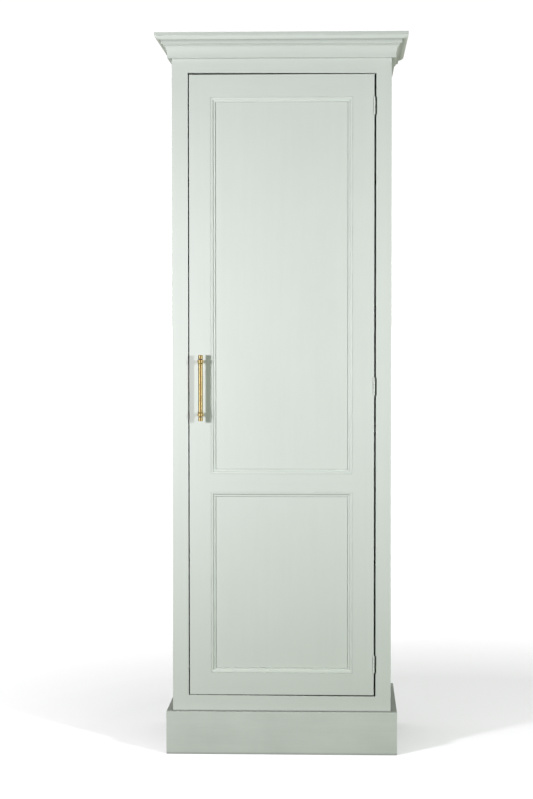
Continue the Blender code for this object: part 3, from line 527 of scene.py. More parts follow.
# The ring in the bar's necks, as painted shade
neck_shade = plastic("brown_neck_shade", NECK_SHADE)
steel = metal("zinc_plate", STEEL, roughness=0.46, spread=0.06, stretch=ROLLING_STRETCH)
black_plastic = plastic("catch_plastic", BLACK)


def new_object(name, bm, material):
    mesh = bpy.data.meshes.new(name)
    bm.to_mesh(mesh)
    bm.free()
    mesh.materials.append(material)
    piece = bpy.data.objects.new(name, mesh)
    bpy.context.scene.collection.objects.link(piece)
    return piece


def make_piece(name, bm, material, body, nodes, sharp_angle=SHARP_ANGLE):
    """Turns a mesh into a shown piece that stands for its CAD nodes and rides on their body."""
    bmesh.ops.recalc_face_normals(bm, faces=bm.faces)
    piece = new_object(name, bm, material)
    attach(piece, body)
    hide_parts(*nodes)
    shown_pieces.append((piece, sharp_angle))
    return piece


def add_detail(name, bm, material, body):
    """A small piece that no CAD node stands for."""
    piece = new_object(name, bm, material)
    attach(piece, body)


def shade_pieces():
    """Rounds the shading of curves and soft edges, and keeps the flat faces flat."""
    for piece, sharp_angle in shown_pieces:
        piece.data.shade_smooth()
        piece.data.set_sharp_from_angle(angle=math.radians(sharp_angle))
        weighted = piece.modifiers.new("flat_faces", "WEIGHTED_NORMAL")
        weighted.keep_sharp = True


def box_mesh(low, high):
    bm = bmesh.new()
    bmesh.ops.create_cube(bm, size=1.0)
    bmesh.ops.scale(bm, vec=Vector(high) - Vector(low), verts=bm.verts)
    bmesh.ops.translate(bm, vec=(Vector(high) + Vector(low)) / 2, verts=bm.verts)
    return bm


def is_lengthwise(edge):
    run = edge.verts[1].co - edge.verts[0].co
    return abs(run.x) > max(abs(run.y), abs(run.z))


def rounded_box(low, high, radius, segments=2, square_ends=False):
    bm = box_mesh(low, high)
    edges = [edge for edge in bm.edges if not square_ends or is_lengthwise(edge)]
    bmesh.ops.bevel(bm, geom=edges, offset=radius, segments=segments, profile=0.5, affect="EDGES")
    return bm


def apply_boolean(piece, bm, operation):
    """Cuts or joins a piece with a mesh, and leaves plain geometry."""
    mesh = bpy.data.meshes.new("tool")
    bmesh.ops.recalc_face_normals(bm, faces=bm.faces)
    bm.to_mesh(mesh)
    bm.free()
    tool = bpy.data.objects.new("tool", mesh)
    bpy.context.scene.collection.objects.link(tool)
    modifier = piece.modifiers.new("boolean", "BOOLEAN")
    modifier.object = tool
    modifier.operation = operation
    modifier.solver = "EXACT"
    depsgraph = bpy.context.evaluated_depsgraph_get()
    result = bpy.data.meshes.new_from_object(piece.evaluated_get(depsgraph))
    piece.modifiers.clear()
    piece.data = result
    bpy.data.objects.remove(tool, do_unlink=True)
    bpy.data.meshes.remove(mesh)


def run_mesh(profile, start, end, out, up, mitres):
    """Sweeps a section from start to end. Each mitre is the shift along the run per unit of x."""
    start, end = Vector(start), Vector(end)
    out, up = Vector(out), Vector(up)
    along = (end - start).normalized()
    bm = bmesh.new()
    first, last = [], []
    for x, y in profile:
        place = out * x + up * y
        inset_start = mitres[0] * x + HAIRLINE * abs(mitres[0])
        inset_end = mitres[1] * x + HAIRLINE * abs(mitres[1])
        first.append(bm.verts.new(start + along * inset_start + place))
        last.append(bm.verts.new(end - along * inset_end + place))
    for index in range(len(profile)):
        following = (index + 1) % len(profile)
        bm.faces.new((first[index], first[following], last[following], last[index]))
    bm.faces.new(first[::-1])
    bm.faces.new(last)
    return bm


def quarter_curve(start, end, corner, steps=CURVE_STEPS):
    """A quarter ellipse between two points, bulging towards a corner of their box, ends included."""
    start, end = Vector(start), Vector(end)
    centre = start + end - Vector(corner)
    points = []
    for index in range(steps + 1):
        angle = index / steps * math.pi / 2
        point = centre + (start - centre) * math.cos(angle) + (end - centre) * math.sin(angle)
        points.append(tuple(point))
    return points


def eased(points, radius, steps=3):
    """Rounds the sharp corners of a closed outline."""
    result = []
    count = len(points)
    for index, point in enumerate(points):
        here = Vector(point)
        before = Vector(points[index - 1]) - here
        after = Vector(points[(index + 1) % count]) - here
        turn = before.angle(after, math.pi)
        if turn > EASED_BELOW:
            result.append(point)
            continue
        reach = min(radius, before.length / EASED_SHARE, after.length / EASED_SHARE)
        first = here + before.normalized() * reach
        last = here + after.normalized() * reach
        for step in range(steps + 1):
            share = step / steps
            low = first.lerp(here, share)
            high = here.lerp(last, share)
            result.append(tuple(low.lerp(high, share)))
    return result


def pointing(start, direction):
    """The place of a turned mesh, whose own axis is z."""
    turn = Vector((0, 0, 1)).rotation_difference(Vector(direction)).to_matrix().to_4x4()
    return Matrix.Translation(start) @ turn


def revolve(profile, start, direction, sides=TURNED_SIDES):
    """A turned mesh. The profile's (radius, distance) pairs run along the axis, from pole to pole."""
    bm = bmesh.new()
    verts = [bm.verts.new((radius, 0, along)) for radius, along in profile]
    edges = [bm.edges.new(pair) for pair in zip(verts, verts[1:])]
    bmesh.ops.spin(
        bm,
        geom=verts + edges,
        cent=(0, 0, 0),
        axis=(0, 0, 1),
        angle=2 * math.pi,
        steps=sides,
        use_merge=True,
    )
    bmesh.ops.remove_doubles(bm, verts=bm.verts, dist=1e-7)
    bmesh.ops.transform(bm, matrix=pointing(start, direction), verts=bm.verts)
    bmesh.ops.recalc_face_normals(bm, faces=bm.faces)
    return bm


def revolve_ring(profile, start, direction, sides=TURNED_SIDES):
    """A turned ring whose closed section doesn't touch the axis."""
    place = pointing(start, direction)
    bm = bmesh.new()
    rings = []
    for index in range(sides):
        angle = 2 * math.pi * index / sides
        out = Vector((math.cos(angle), math.sin(angle), 0))
        ring = [bm.verts.new(place @ (out * r + Vector((0, 0, z)))) for r, z in profile]
        rings.append(ring)
    for index, ring in enumerate(rings):
        following = rings[(index + 1) % sides]
        for step in range(len(profile)):
            after = (step + 1) % len(profile)
            bm.faces.new((ring[step], ring[after], following[after], following[step]))
    bmesh.ops.recalc_face_normals(bm, faces=bm.faces)
    return bm


def board(node, material, body, radius=ARRIS_RADIUS):
    """A planed and painted board in a CAD node's place."""
    low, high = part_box(node)
    bm = rounded_box(low, high, radius, ARRIS_SEGMENTS)
    return make_piece(f"{node}_board", bm, material, body, [node])


def rail(node, left, right, body, level=0, fall=0):
    """A rail without its tenons. It runs onto the stiles' soft edges, as paint fills the joints.
    The edge at that level may fall to the right."""
    low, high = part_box(node)
    ends = (left, low.y, low.z), (right, high.y, high.z)
    bm = rounded_box(*ends, FINE_ARRIS, square_ends=True)
    for vert in bm.verts:
        if abs(vert.co.z - level) < fall + FINE_ARRIS:
            vert.co.z += math.copysign(fall / 2, low.z + high.z - 2 * level)
            vert.co.z -= fall * vert.co.x / (right - left)
    return make_piece(f"{node}_board", bm, frame_paint["x"], body, [node])


def make_camera():
    camera = bpy.data.cameras.new("studio_camera")
    camera.sensor_width = SENSOR
    camera.lens = FOCAL_PIXELS / FRAME_HEIGHT_PIXELS * SENSOR
    holder = bpy.data.objects.new("studio_camera", camera)
    holder.location = (CAMERA_X, FRONT - CAMERA_BACK, CAMERA_Z)
    holder.rotation_euler = (math.pi / 2 + CAMERA_PITCH, CAMERA_ROLL, CAMERA_YAW)
    bpy.context.scene.collection.objects.link(holder)
    bpy.context.scene.camera = holder


def make_carcase():
    for side in ("left", "right"):
        board(f"side_{side}", outside_paint["z"], "cabinet")
    board("top_board", outside_paint["x"], "cabinet")
    board("floor_board", inside_paint["x"], "cabinet")
    board("wall_rail", inside_paint["x"], "cabinet")
    for number in range(1, SHELF_COUNT + 1):
        board(f"shelf_{number}", inside_paint["x"], "cabinet")
        for side in ("left", "right"):
            node = f"shelf_batten_{number}_{side}"
            board(node, inside_paint["y"], "cabinet")
    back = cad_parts["back_panel"]
    back.data.materials.clear()
    back.data.materials.append(inside_paint["z"])


def make_face_frame():
    board("frame_stile_left", frame_paint["z"], "cabinet", FINE_ARRIS)
    right_stile = board("frame_stile_right", frame_paint["z"], "cabinet", FINE_ARRIS)
    for level in HINGE_LEVELS:
        cut_frame_housing(right_stile, level)
    left = OPENING_LEFT - FINE_ARRIS
    right = OPENING_RIGHT + FINE_ARRIS
    opening_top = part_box("frame_rail_top")[0].z
    opening_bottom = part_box("frame_rail_bottom")[1].z
    rail("frame_rail_top", left, right, "cabinet", opening_top, TOP_RAIL_FALL)
    rail("frame_rail_bottom", left, right, "cabinet", opening_bottom, BOTTOM_RAIL_FALL)


def make_door_frame():
    board("door_stile_handle", frame_paint["z"], "door", FINE_ARRIS)
    hinge_stile = board("door_stile_hinge", frame_paint["z"], "door", FINE_ARRIS)
    for level in HINGE_LEVELS:
        cut_leaf_housing(hinge_stile, level)
    left, right = SIGHT_LEFT - FINE_ARRIS, SIGHT_RIGHT + FINE_ARRIS
    for name in ("top", "middle", "bottom"):
        rail(f"door_rail_{name}", left, right, "door")


def cornice_profile(height):
    """x is the distance out from the carcase, y the height over the cornice's lowest edge."""
    out = CORNICE_PROJECTION - SEAT
    ovolo_start = (out, height - CAP_FILLET)
    ovolo_end = (out - OVOLO_RUN, ovolo_start[1] - OVOLO_DROP)
    band_top = (ovolo_end[0] - STEP_RUN, ovolo_end[1])
    band_bottom = (band_top[0], band_top[1] - BAND_DROP)
    cove_end = (band_bottom[0] - COVE_RUN, band_bottom[1] - COVE_DROP)
    lip_bottom = (cove_end[0], cove_end[1] - LIP_DROP)
    foot = (CORNICE_FOOT - SEAT, 0)
    corners = [(0, height), (out, height)]
    corners += quarter_curve(ovolo_start, ovolo_end, (out, ovolo_end[1]))
    corners += [band_top]
    corners += quarter_curve(band_bottom, cove_end, (cove_end[0], band_bottom[1]))
    corners += quarter_curve(lip_bottom, foot, (foot[0], lip_bottom[1]), 2 * CURVE_STEPS)
    corners += [(0, 0)]
    return eased(corners, FINE_ARRIS)


def wrap_round_carcase(name, profile, bottom, materials):
    """Runs a section round the front and the two sides, with mitres at the front corners."""
    seat_x = HALF_WIDTH + SEAT
    front_y = FRONT - SEAT
    runs = {
        "front": ((-seat_x, front_y), (seat_x, front_y), (0, -1, 0), (-1, -1), "x"),
        "left": ((-seat_x, front_y), (-seat_x, BACK), (-1, 0, 0), (-1, 0), "y"),
        "right": ((seat_x, front_y), (seat_x, BACK), (1, 0, 0), (-1, 0), "y"),
    }
    for side, (start, end, out, mitres, grain) in runs.items():
        bm = run_mesh(profile, (*start, bottom), (*end, bottom), out, (0, 0, 1), mitres)
        node = f"{name}_{side}"
        make_piece(
            f"{node}_run", bm, materials[grain], "cabinet", [node], RUN_SHARP_ANGLE
        )


def make_cornice():
    low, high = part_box("cornice_front")
    wrap_round_carcase("cornice", cornice_profile(high.z - low.z), low.z, cornice_shaded_paint)


def make_plinth():
    low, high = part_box("plinth_front")
    out = high.y - low.y
    height = high.z - low.z
    corners = [(0, 0), (out, 0), (out, height), (0, height)]
    wrap_round_carcase("plinth", eased(corners, ARRIS_RADIUS, steps=4), low.z, plinth_paint)


def hinge_bounds(level):
    """Bottom, top and axis of a hinge, from its leaf and its pin."""
    leaf_low, leaf_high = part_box(f"hinge_door_leaf_{level}")
    pin_low, pin_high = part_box(f"hinge_pin_{level}")
    return leaf_low.z, leaf_high.z, (pin_low + pin_high) / 2


def knuckle_spans(bottom, top):
    """Bottom and top of each knuckle. The first, third and fifth are the frame leaf's."""
    pitch = (top - bottom) / KNUCKLE_COUNT
    return [
        (bottom + index * pitch + KNUCKLE_GAP / 2, bottom + (index + 1) * pitch - KNUCKLE_GAP / 2)
        for index in range(KNUCKLE_COUNT)
    ]


def cut_frame_housing(stile, level):
    bottom, top, _ = hinge_bounds(level)
    low = (OPENING_RIGHT - SEAT, FRONT - SEAT, bottom - SEAT)
    high = (OPENING_RIGHT + FRAME_RECESS, FRONT + LEAF_WIDTH + SEAT, top + SEAT)
    apply_boolean(stile, box_mesh(low, high), "DIFFERENCE")


def cut_leaf_housing(stile, level):
    bottom, top, axis = hinge_bounds(level)
    low = (DOOR_RIGHT - LEAF_THICKNESS - SEAT, FRONT + LEAF_INSET - SEAT, bottom - SEAT)
    high = (DOOR_RIGHT + SEAT, FRONT + LEAF_WIDTH + SEAT, top + SEAT)
    apply_boolean(stile, box_mesh(low, high), "DIFFERENCE")
    for web_bottom, web_top in knuckle_spans(bottom, top)[1::2]:
        web_low = (DOOR_RIGHT - LEAF_THICKNESS - SEAT, axis.y - SEAT, web_bottom - SEAT)
        web_high = (DOOR_RIGHT + SEAT, FRONT + 2 * WEB_DEPTH, web_top + SEAT)
        apply_boolean(stile, box_mesh(web_low, web_high), "DIFFERENCE")


def sight_of(name):
    """Bottom and top of a panel's opening."""
    if name == "upper":
        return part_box("door_rail_middle")[1].z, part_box("door_rail_top")[0].z
    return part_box("door_rail_bottom")[1].z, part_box("door_rail_middle")[0].z


def quirk_ring(bottom, top):
    """A square ring of triangular section, sunk into a panel's face."""
    inset = MOULDING_WIDTH + 2 * SEAT
    left, right = SIGHT_LEFT + inset, SIGHT_RIGHT - inset
    low, high = bottom + inset, top - inset
    section = [(0, -QUIRK_DEPTH), (QUIRK_WIDTH, -QUIRK_DEPTH), (QUIRK_WIDTH / 2, QUIRK_DEPTH)]
    bm = bmesh.new()
    rings = []
    for x, y in section:
        corners = [(left + x, low + x), (right - x, low + x), (right - x, high - x), (left + x, high - x)]
        rings.append([bm.verts.new((cx, PANEL_FRONT + y, cz)) for cx, cz in corners])
    for first, second in zip(rings, rings[1:] + rings[:1]):
        for index in range(4):
            following = (index + 1) % 4
            bm.faces.new((first[index], first[following], second[following], second[index]))
    return bm


def make_panels():
    """The two fields of the door, with a fine quirk beside the moulding."""
    for name in ("upper", "lower"):
        node = f"door_panel_{name}"
        bm = box_mesh(*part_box(node))
        panel = make_piece(f"{node}_field", bm, outside_paint["z"], "door", [node])
        apply_boolean(panel, quirk_ring(*sight_of(name)), "DIFFERENCE")


def moulding_profile():
    """A bead, a step down and a hollow. x in from the door frame's edge, y back from its face."""
    back = PANEL_RECESS - SEAT
    outer = HAIRLINE
    inner = SEAT + MOULDING_WIDTH
    bead_start = (outer + MOULDING_FILLET, MOULDING_SUNK)
    bead_end = (outer + MOULDING_BEAD, MOULDING_SUNK + MOULDING_BEAD_DROP)
    hollow_start = (bead_end[0], bead_end[1] + MOULDING_STEP)
    hollow_end = (inner - MOULDING_TOE, PANEL_RECESS - MOULDING_TOE_HEIGHT)
    corners = [(outer, back), (outer, MOULDING_SUNK)]
    corners += quarter_curve(bead_start, bead_end, (bead_end[0], bead_start[1]))
    corners += quarter_curve(hollow_start, hollow_end, (hollow_start[0], hollow_end[1]))
    corners += [(inner, hollow_end[1]), (inner, back)]
    return eased(corners, FINE_ARRIS)


def make_mouldings():
    profile = moulding_profile()
    for name in ("upper", "lower"):
        bottom, top = sight_of(name)
        low_left, low_right = (SIGHT_LEFT, FRONT, bottom), (SIGHT_RIGHT, FRONT, bottom)
        high_left, high_right = (SIGHT_LEFT, FRONT, top), (SIGHT_RIGHT, FRONT, top)
        runs = {
            "left": (low_left, high_left, (1, 0, 0), "z"),
            "right": (low_right, high_right, (-1, 0, 0), "z"),
            "top": (high_left, high_right, (0, 0, -1), "x"),
            "bottom": (low_left, low_right, (0, 0, 1), "x"),
        }
        for side, (start, end, inwards, grain) in runs.items():
            bm = run_mesh(profile, start, end, inwards, (0, 1, 0), (1, 1))
            node = f"moulding_{name}_{side}"
            material = outside_paint[grain]
            make_piece(
                f"{node}_strip", bm, material, "door", [node], RUN_SHARP_ANGLE
            )


def rounded_end(radius, along):
    """Profile points of the bar's end, from its wall to the axis."""
    points = []
    for index in range(BAR_EDGE_STEPS + 1):
        angle = math.radians(90 * index / BAR_EDGE_STEPS)
        inwards = radius - BAR_EDGE + BAR_EDGE * math.cos(angle)
        points.append((inwards, along + (math.sin(angle) - 1) * BAR_EDGE))
    return points + [(0, along)]


def make_handle():
    """The bar, with a near-black ring of painted shade in the neck beyond each collar, and its two posts.
    """
    bar_low, bar_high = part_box("handle_bar")
    axis = (bar_low + bar_high) / 2
    half = (bar_high.z - bar_low.z) / 2
    levels = {name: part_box(f"handle_screw_{name}") for name in ("upper", "lower")}
    centres = {name: (low.z + high.z) / 2 for name, (low, high) in levels.items()}
    neck_start = (centres["upper"] - centres["lower"]) / 2 + COLLAR_END
    neck_end = neck_start + NECK_WIDTH
    upper_half = [
        (BAR_RADIUS, neck_start - NECK_EDGE),
        (NECK_RADIUS, neck_start + NECK_LIP),
        (NECK_RADIUS, neck_end - NECK_EDGE),
        (BAR_RADIUS - NECK_LIP, neck_end),
        (BAR_RADIUS, neck_end + NECK_EDGE),
        *rounded_end(BAR_RADIUS, half),
    ]
    profile = [(radius, -along) for radius, along in reversed(upper_half)] + upper_half
    bar = revolve(profile, axis, (0, 0, 1))
    make_piece("handle_bar_turned", bar, brass, "door", ["handle_bar"], TURNED_SHARP_ANGLE)
    for name, sign in (("upper", 1), ("lower", -1)):
        make_handle_post(name, sign, Vector((axis.x, axis.y, centres[name])))
        # A near-black ring in the neck, as painted shade
        groove = [(0, 0), (GROOVE_RADIUS, 0), (GROOVE_RADIUS, NECK_WIDTH), (0, NECK_WIDTH)]
        ring = revolve(groove, axis + Vector((0, 0, sign * neck_start)), (0, 0, sign))
        add_detail(f"handle_groove_{name}", ring, neck_shade, "door")


def make_handle_post(name, sign, centre):
    """A collar that tapers towards the middle of the bar, on a stem that seats on the door."""
    bore = BAR_RADIUS + COLLAR_CLEARANCE
    shoulder = COLLAR_END - COLLAR_STRAIGHT
    collar = [(bore, COLLAR_END)]
    collar += [(COLLAR_RADIUS - inwards, COLLAR_END - down) for inwards, down in COLLAR_EDGE]
    for index in range(COLLAR_TAPER_STEPS + 1):
        share = index / COLLAR_TAPER_STEPS
        fall = 0.5 - 0.5 * math.cos(math.pi * share)
        radius = COLLAR_RADIUS + (bore + SEAT - COLLAR_RADIUS) * fall
        collar.append((radius, shoulder - COLLAR_TAPER * share))
    collar += [(bore, shoulder - COLLAR_TAPER)]
    bm = revolve_ring(collar, centre, (0, 0, sign))
    node = f"handle_post_{name}"
    post = make_piece(f"{node}_turned", bm, brass, "door", [node], TURNED_SHARP_ANGLE)
    start = centre + Vector((0, BAR_RADIUS * POST_START, 0))
    length = FRONT - POST_CLEARANCE - start.y
    stem = [(0, 0), (POST_RADIUS, 0)]
    stem += [(POST_RADIUS + outwards, length - rise) for outwards, rise in POST_FOOT]
    stem += [(0, length)]
    apply_boolean(post, revolve(stem, start, (0, 1, 0), POST_SIDES), "UNION")


def make_bolts():
    """Pan-headed machine screws on the back of the door, with a slot."""
    for name in ("upper", "lower"):
        node = f"handle_screw_{name}"
        low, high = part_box(node)
        centre = (low + high) / 2
        radius = (high.x - low.x) / 2
        face = high.y
        head_depth = face - DOOR_BACK - SEAT
        length = face - low.y
        profile = [(0, 0)]
        for index in range(BOLT_HEAD_STEPS + 1):
            angle = math.radians(90 * index / BOLT_HEAD_STEPS)
            profile.append((radius * math.sin(angle), head_depth * (1 - math.cos(angle))))
        shank = radius / BOLT_HEAD_TO_SHANK
        profile += [(shank, head_depth), (shank, length), (0, length)]
        bm = revolve(profile, (centre.x, face, centre.z), (0, -1, 0), BOLT_SIDES)
        bolt = make_piece(f"{node}_turned", bm, steel, "door", [node], BOLT_SHARP_ANGLE)
        slot_low = (centre.x - radius, face - BOLT_SLOT_DEPTH, centre.z - BOLT_SLOT_HALF)
        slot_high = (centre.x + radius, face + SLOT_OVERCUT, centre.z + BOLT_SLOT_HALF)
        apply_boolean(bolt, box_mesh(slot_low, slot_high), "DIFFERENCE")


def make_hinges():
    for level in HINGE_LEVELS:
        bottom, top, axis = hinge_bounds(level)
        spans = knuckle_spans(bottom, top)
        frame_plate = (OPENING_RIGHT, OPENING_RIGHT + LEAF_THICKNESS)
        door_plate = (DOOR_RIGHT - LEAF_THICKNESS, DOOR_RIGHT)
        make_leaf("frame", level, (bottom, top), axis, spans[0::2], frame_plate)
        make_leaf("door", level, (bottom, top), axis, spans[1::2], door_plate)
        make_hinge_pin(level, axis)


def make_leaf(side, level, ends, axis, spans, plate_x):
    """A plate with rolled knuckles and two slotted screws, under the wood's paint, lightened as a painted
    highlight.
    """
    on_frame = side == "frame"
    body = "cabinet" if on_frame else "door"
    inset = FRAME_LEAF_INSET if on_frame else LEAF_INSET
    face, outwards = (plate_x[0], -1) if on_frame else (plate_x[1], 1)
    bottom, top = ends
    node = f"hinge_{side}_leaf_{level}"
    low = (plate_x[0], FRONT + inset, bottom)
    high = (plate_x[1], FRONT + LEAF_WIDTH, top)
    bm = rounded_box(low, high, LEAF_EDGE)
    leaf = make_piece(f"{node}_rolled", bm, hinge_highlight_paint, body, [node])
    for span_bottom, span_top in spans:
        if on_frame:
            section = cranked_web(axis, plate_x[0] + LEAF_THICKNESS / 2)
            web_ends = (0, 0, span_bottom), (0, 0, span_top)
            web = run_mesh(section, *web_ends, (1, 0, 0), (0, 1, 0), (0, 0))
        else:
            web_low = (plate_x[0], axis.y, span_bottom)
            web_high = (plate_x[1], FRONT + WEB_DEPTH, span_top)
            web = box_mesh(web_low, web_high)
        apply_boolean(leaf, web, "UNION")
        apply_boolean(leaf, knuckle_mesh(axis, span_bottom, span_top), "UNION")
    middle = (bottom + top) / 2
    for offset in (-HINGE_SCREW_PITCH / 2, HINGE_SCREW_PITCH / 2):
        place = (face, FRONT + LEAF_WIDTH / 2, middle + offset)
        add_screw_head(leaf, place, outwards)


def knuckle_mesh(axis, bottom, top):
    length = top - bottom
    flat = KNUCKLE_RADIUS - KNUCKLE_EDGE
    profile = [(0, 0), (flat, 0), (KNUCKLE_RADIUS, KNUCKLE_EDGE)]
    profile += [(KNUCKLE_RADIUS, length - KNUCKLE_EDGE), (flat, length), (0, length)]
    return revolve(profile, (axis.x, axis.y, bottom), (0, 0, 1), KNUCKLE_SIDES)


def cranked_web(axis, right):
    """The web's section, as seen from above: back from the knuckle, then across the gap."""
    left = axis.x + SEAT
    front = axis.y + WEB_SETBACK
    bridge_front = FRONT + BRIDGE_SETBACK
    bridge_back = bridge_front + LEAF_THICKNESS
    return [
        (left, front),
        (left + LEAF_THICKNESS, front),
        (left + LEAF_THICKNESS, bridge_front),
        (right, bridge_front),
        (right, bridge_back),
        (left, bridge_back),
    ]


def add_screw_head(leaf, place, outwards):
    """A shallow domed head with a slot, sunk into a leaf's face."""
    x, y, z = place
    bend = (
        SCREW_HEAD_RADIUS * SCREW_DOME_BEND[0],
        SCREW_HEAD_DEPTH + SCREW_DOME * SCREW_DOME_BEND[1],
    )
    profile = [(0, 0), (SCREW_HEAD_RADIUS, 0), (SCREW_HEAD_RADIUS, SCREW_HEAD_DEPTH)]
    profile += [bend, (0, SCREW_HEAD_DEPTH + SCREW_DOME)]
    start = (x - outwards * SCREW_HEAD_DEPTH, y, z)
    apply_boolean(leaf, revolve(profile, start, (outwards, 0, 0), SCREW_SIDES), "UNION")
    slot_x = (x - outwards * SCREW_SLOT_DEPTH, x + outwards * SLOT_OVERCUT)
    reach = SCREW_HEAD_RADIUS * SCREW_SLOT_REACH
    low = (min(slot_x), y - reach, z - SCREW_SLOT / 2)
    high = (max(slot_x), y + reach, z + SCREW_SLOT / 2)
    apply_boolean(leaf, box_mesh(low, high), "DIFFERENCE")


def make_hinge_pin(level, axis):
    """The pin's two ends stand just proud of the knuckles, domed over with paint."""
    node = f"hinge_pin_{level}"
    low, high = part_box(node)
    radius = (high.x - low.x) / 2
    half = (high.z - low.z) / 2
    bend = (radius * PIN_DOME_BEND[0], half - PIN_DOME * PIN_DOME_BEND[1])
    upper_half = [(radius, half - PIN_DOME), bend, (0, half)]
    profile = [(r, -z) for r, z in reversed(upper_half)] + upper_half
    bm = revolve(profile, axis, (0, 0, 1), PIN_SIDES)
    make_piece(
        f"{node}_domed", bm, hinge_highlight_paint, "cabinet", [node], TURNED_SHARP_ANGLE
    )


def make_catch():
    """A plastic magnetic catch with two steel poles, and its dished strike plate."""
    low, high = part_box("magnetic_catch")
    strike_low, strike_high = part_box("catch_strike_plate")
    face = strike_high.y + 2 * SEAT
    body = rounded_box((low.x, face, low.z), high, CATCH_EDGE, CATCH_EDGE_SEGMENTS)
    catch = make_piece(
        "magnetic_catch_body", body, black_plastic, "cabinet", ["magnetic_catch"]
    )
    foot_low = (low.x, FRAME_BACK + SEAT, low.z + CATCH_FOOT_INSET)
    foot_high = (OPENING_LEFT - SEAT, face + CATCH_FOOT_DEPTH, high.z - CATCH_FOOT_INSET)
    apply_boolean(catch, rounded_box(foot_low, foot_high, PLATE_EDGE), "UNION")
    for name, share in POLE_LEVELS.items():
        z = low.z + (high.z - low.z) * share
        pole_low = (strike_low.x + POLE_INSET, face - POLE_PROUD, z - POLE_HALF)
        pole_high = (strike_high.x - POLE_INSET, face + POLE_DEPTH, z + POLE_HALF)
        pole = rounded_box(pole_low, pole_high, POLE_EDGE, 1)
        add_detail(f"catch_pole_{name}", pole, steel, "cabinet")
    plate = rounded_box(strike_low, strike_high, PLATE_EDGE)
    strike = make_piece("catch_strike_plate_pressed", plate, steel, "door", ["catch_strike_plate"])
    middle = (strike_low + strike_high) / 2
    profile = [(0, 0), (DISH_RADIUS * DISH_FLAT, 0), (DISH_RADIUS, DISH_DEPTH)]
    profile += [(DISH_RADIUS, DISH_TOOL_HEIGHT), (0, DISH_TOOL_HEIGHT)]
    dish_bottom = (middle.x, strike_high.y - DISH_DEPTH, middle.z)
    apply_boolean(strike, revolve(profile, dish_bottom, (0, 1, 0), DISH_SIDES), "DIFFERENCE")


def add_lamp(name, kind, power, colour, place=(0, 0, 0)):
    light = bpy.data.lights.new(name, kind)
    light.energy = power
    light.color = colour
    holder = bpy.data.objects.new(name, light)
    holder.location = place
    bpy.context.scene.collection.objects.link(holder)
    return holder


def add_area_lamp(name, place, target, size, power, colour=WHITE):
    holder = add_lamp(name, "AREA", power, colour, place)
    holder.data.shape = "RECTANGLE"
    holder.data.size, holder.data.size_y = size
    holder.rotation_euler = (Vector(target) - Vector(place)).to_track_quat("-Z", "Y").to_euler()
    return holder


def collected(objects, name):
    collection = bpy.data.collections.new(name)
    for obj in objects:
        collection.objects.link(obj)
    return collection


def light_only(lamp, objects, name):
    """Lets a lamp's light fall on these objects alone."""
    lamp.light_linking.receiver_collection = collected(objects, name)


def keep_off(lamp, objects, name):
    """Keeps a lamp's light off these objects."""
    receivers = collected(objects, name)
    for entry in receivers.collection_objects:
        entry.light_linking.link_state = "EXCLUDE"
    lamp.light_linking.receiver_collection = receivers


def make_main_lamps(handle_x, unlit):
    """The key and the fill, which throw the handle's two shadows."""
    for name, angle, distance, height, radius, power, colour in (
        ("key_lamp", -KEY_ANGLE, KEY_DISTANCE, KEY_HEIGHT, KEY_RADIUS, KEY_POWER, KEY_COLOUR),
        ("fill_lamp", FILL_ANGLE, FILL_DISTANCE, FILL_HEIGHT, FILL_RADIUS, FILL_POWER, FILL_COLOUR),
    ):
        offset = Vector((math.tan(angle), -1, 0)) * distance
        place = Vector((handle_x, FRONT, height)) + offset
        lamp = add_lamp(name, "POINT", power, colour, place)
        lamp.data.shadow_soft_size = radius
        keep_off(lamp, unlit, f"{name}_not_on")


def make_outer_lamps(unlit):
    """Soft lamps for the sides and the back."""
    for name, sideways in (("left", -1), ("right", 1)):
        corner = Vector((sideways * HALF_WIDTH, FRONT + SIDE_LAMP_BACK, HEIGHT))
        place = corner + Vector((sideways * SIDE_LAMP_DISTANCE, 0, -SIDE_LAMP_DROP))
        lamp = add_area_lamp(
            f"side_lamp_{name}", place, corner, SIDE_LAMP_SIZE, SIDE_LAMP_POWER, SIDE_LAMP_COLOUR
        )
        keep_off(lamp, unlit, f"side_lamp_{name}_not_on")
    place = Vector((0, BACK, HEIGHT)) + Vector(BACK_LAMP_OFFSET)
    target = (0, BACK, HEIGHT / 2)
    lamp = add_area_lamp("back_lamp", place, target, BACK_LAMP_SIZE, BACK_LAMP_POWER)
    keep_off(lamp, unlit, "back_lamp_not_on")


def make_brass_lamps(target, brass_pieces):
    """The brass is lit by these alone."""
    for name, sideways, power, colour in (
        ("brass_left", -1, BRASS_KEY_POWER, WHITE),
        ("brass_right", 1, BRASS_FILL_POWER, WHITE),
        ("brass_front", 0, BRASS_FRONT_POWER, BRASS_FRONT_COLOUR),
    ):
        offset = Vector((sideways * math.tan(BRASS_LIGHT_ANGLE), -1, 0)) * BRASS_LIGHT_DISTANCE
        lamp = add_area_lamp(name, target + offset, target, BRASS_LIGHT_SIZE, power, colour)
        light_only(lamp, brass_pieces, f"{name}_receivers")


def make_lights(floor):
    brass_pieces = [piece for piece, _ in shown_pieces if piece.data.materials[0] == brass]
    bar_low, bar_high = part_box("handle_bar")
    handle_x = (bar_low.x + bar_high.x) / 2
    make_main_lamps(handle_x, brass_pieces)
    make_outer_lamps([floor, *brass_pieces])
    make_brass_lamps(Vector((handle_x, FRONT, bar_low.z)), brass_pieces)
    daylight = add_lamp("floor_daylight", "SUN", FLOOR_SUN, FLOOR_SUN_COLOUR)
    daylight.data.angle = FLOOR_SUN_ANGLE
    light_only(daylight, [floor], "floor_daylight_receivers")


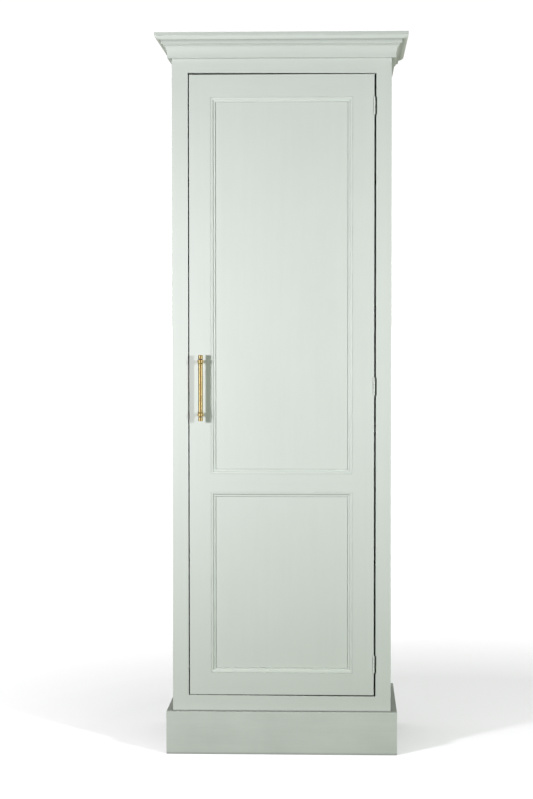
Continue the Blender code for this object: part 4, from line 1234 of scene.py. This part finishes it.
def make_floor():
    """A pale floor that fades to white. It throws little light back onto the cupboard."""
    bm = bmesh.new()
    bmesh.ops.create_grid(bm, x_segments=1, y_segments=1, size=FLOOR_SIZE)
    material, tree, shader = new_material("studio_floor_paint")
    floor = new_object("studio_floor", bm, material)
    shader.inputs["Roughness"].default_value = 1.0
    shader.inputs["Specular IOR Level"].default_value = 0.0
    shader.inputs["Emission Color"].default_value = (*WHITE, 1)
    seen = add_node(tree, "ShaderNodeLightPath").outputs["Is Camera Ray"]
    pale = (FLOOR_ALBEDO, FLOOR_ALBEDO, FLOOR_ALBEDO, 1)
    bounce = (*(FLOOR_BOUNCE * channel for channel in AMBIENT_COLOUR), 1)
    tree.links.new(mixed(tree, seen, bounce, pale), shader.inputs["Base Color"])
    place = add_node(tree, "ShaderNodeTexCoord").outputs["Object"]
    apart = vector_maths(tree, "SUBTRACT", place, FLOOR_FADE_FROM)
    reach = add_node(tree, "ShaderNodeVectorMath", {0: apart}, operation="LENGTH").outputs["Value"]
    haze = ranged(tree, reach, FLOOR_FADE, (0.0, 1.0))
    tree.links.new(maths(tree, "MULTIPLY", haze, seen), shader.inputs["Emission Strength"])
    return floor


def make_world():
    """A white studio behind everything, which lights the object less than it shows."""
    world = bpy.data.worlds.new("studio")
    bpy.context.scene.world = world
    world.use_nodes = True
    tree = world.node_tree
    background = tree.nodes["Background"]
    seen = add_node(tree, "ShaderNodeLightPath").outputs["Is Camera Ray"]
    rise = height_of(tree, add_node(tree, "ShaderNodeTexCoord").outputs["Generated"])
    ambient = ranged(tree, rise, (0.0, 1.0), (AMBIENT_SIDE, AMBIENT_TOP))
    strength = ranged(tree, seen, (0.0, 1.0), (ambient, BACKDROP_STRENGTH))
    tree.links.new(strength, background.inputs["Strength"])
    colour = mixed(tree, seen, (*AMBIENT_COLOUR, 1), (*WHITE, 1))
    tree.links.new(colour, background.inputs["Color"])


bpy.context.scene.view_settings.view_transform = "Standard"
make_camera()
make_carcase()
make_face_frame()
make_cornice()
make_plinth()
make_door_frame()
make_panels()
make_mouldings()
make_handle()
make_bolts()
make_hinges()
make_catch()
shade_pieces()
make_lights(make_floor())
make_world()
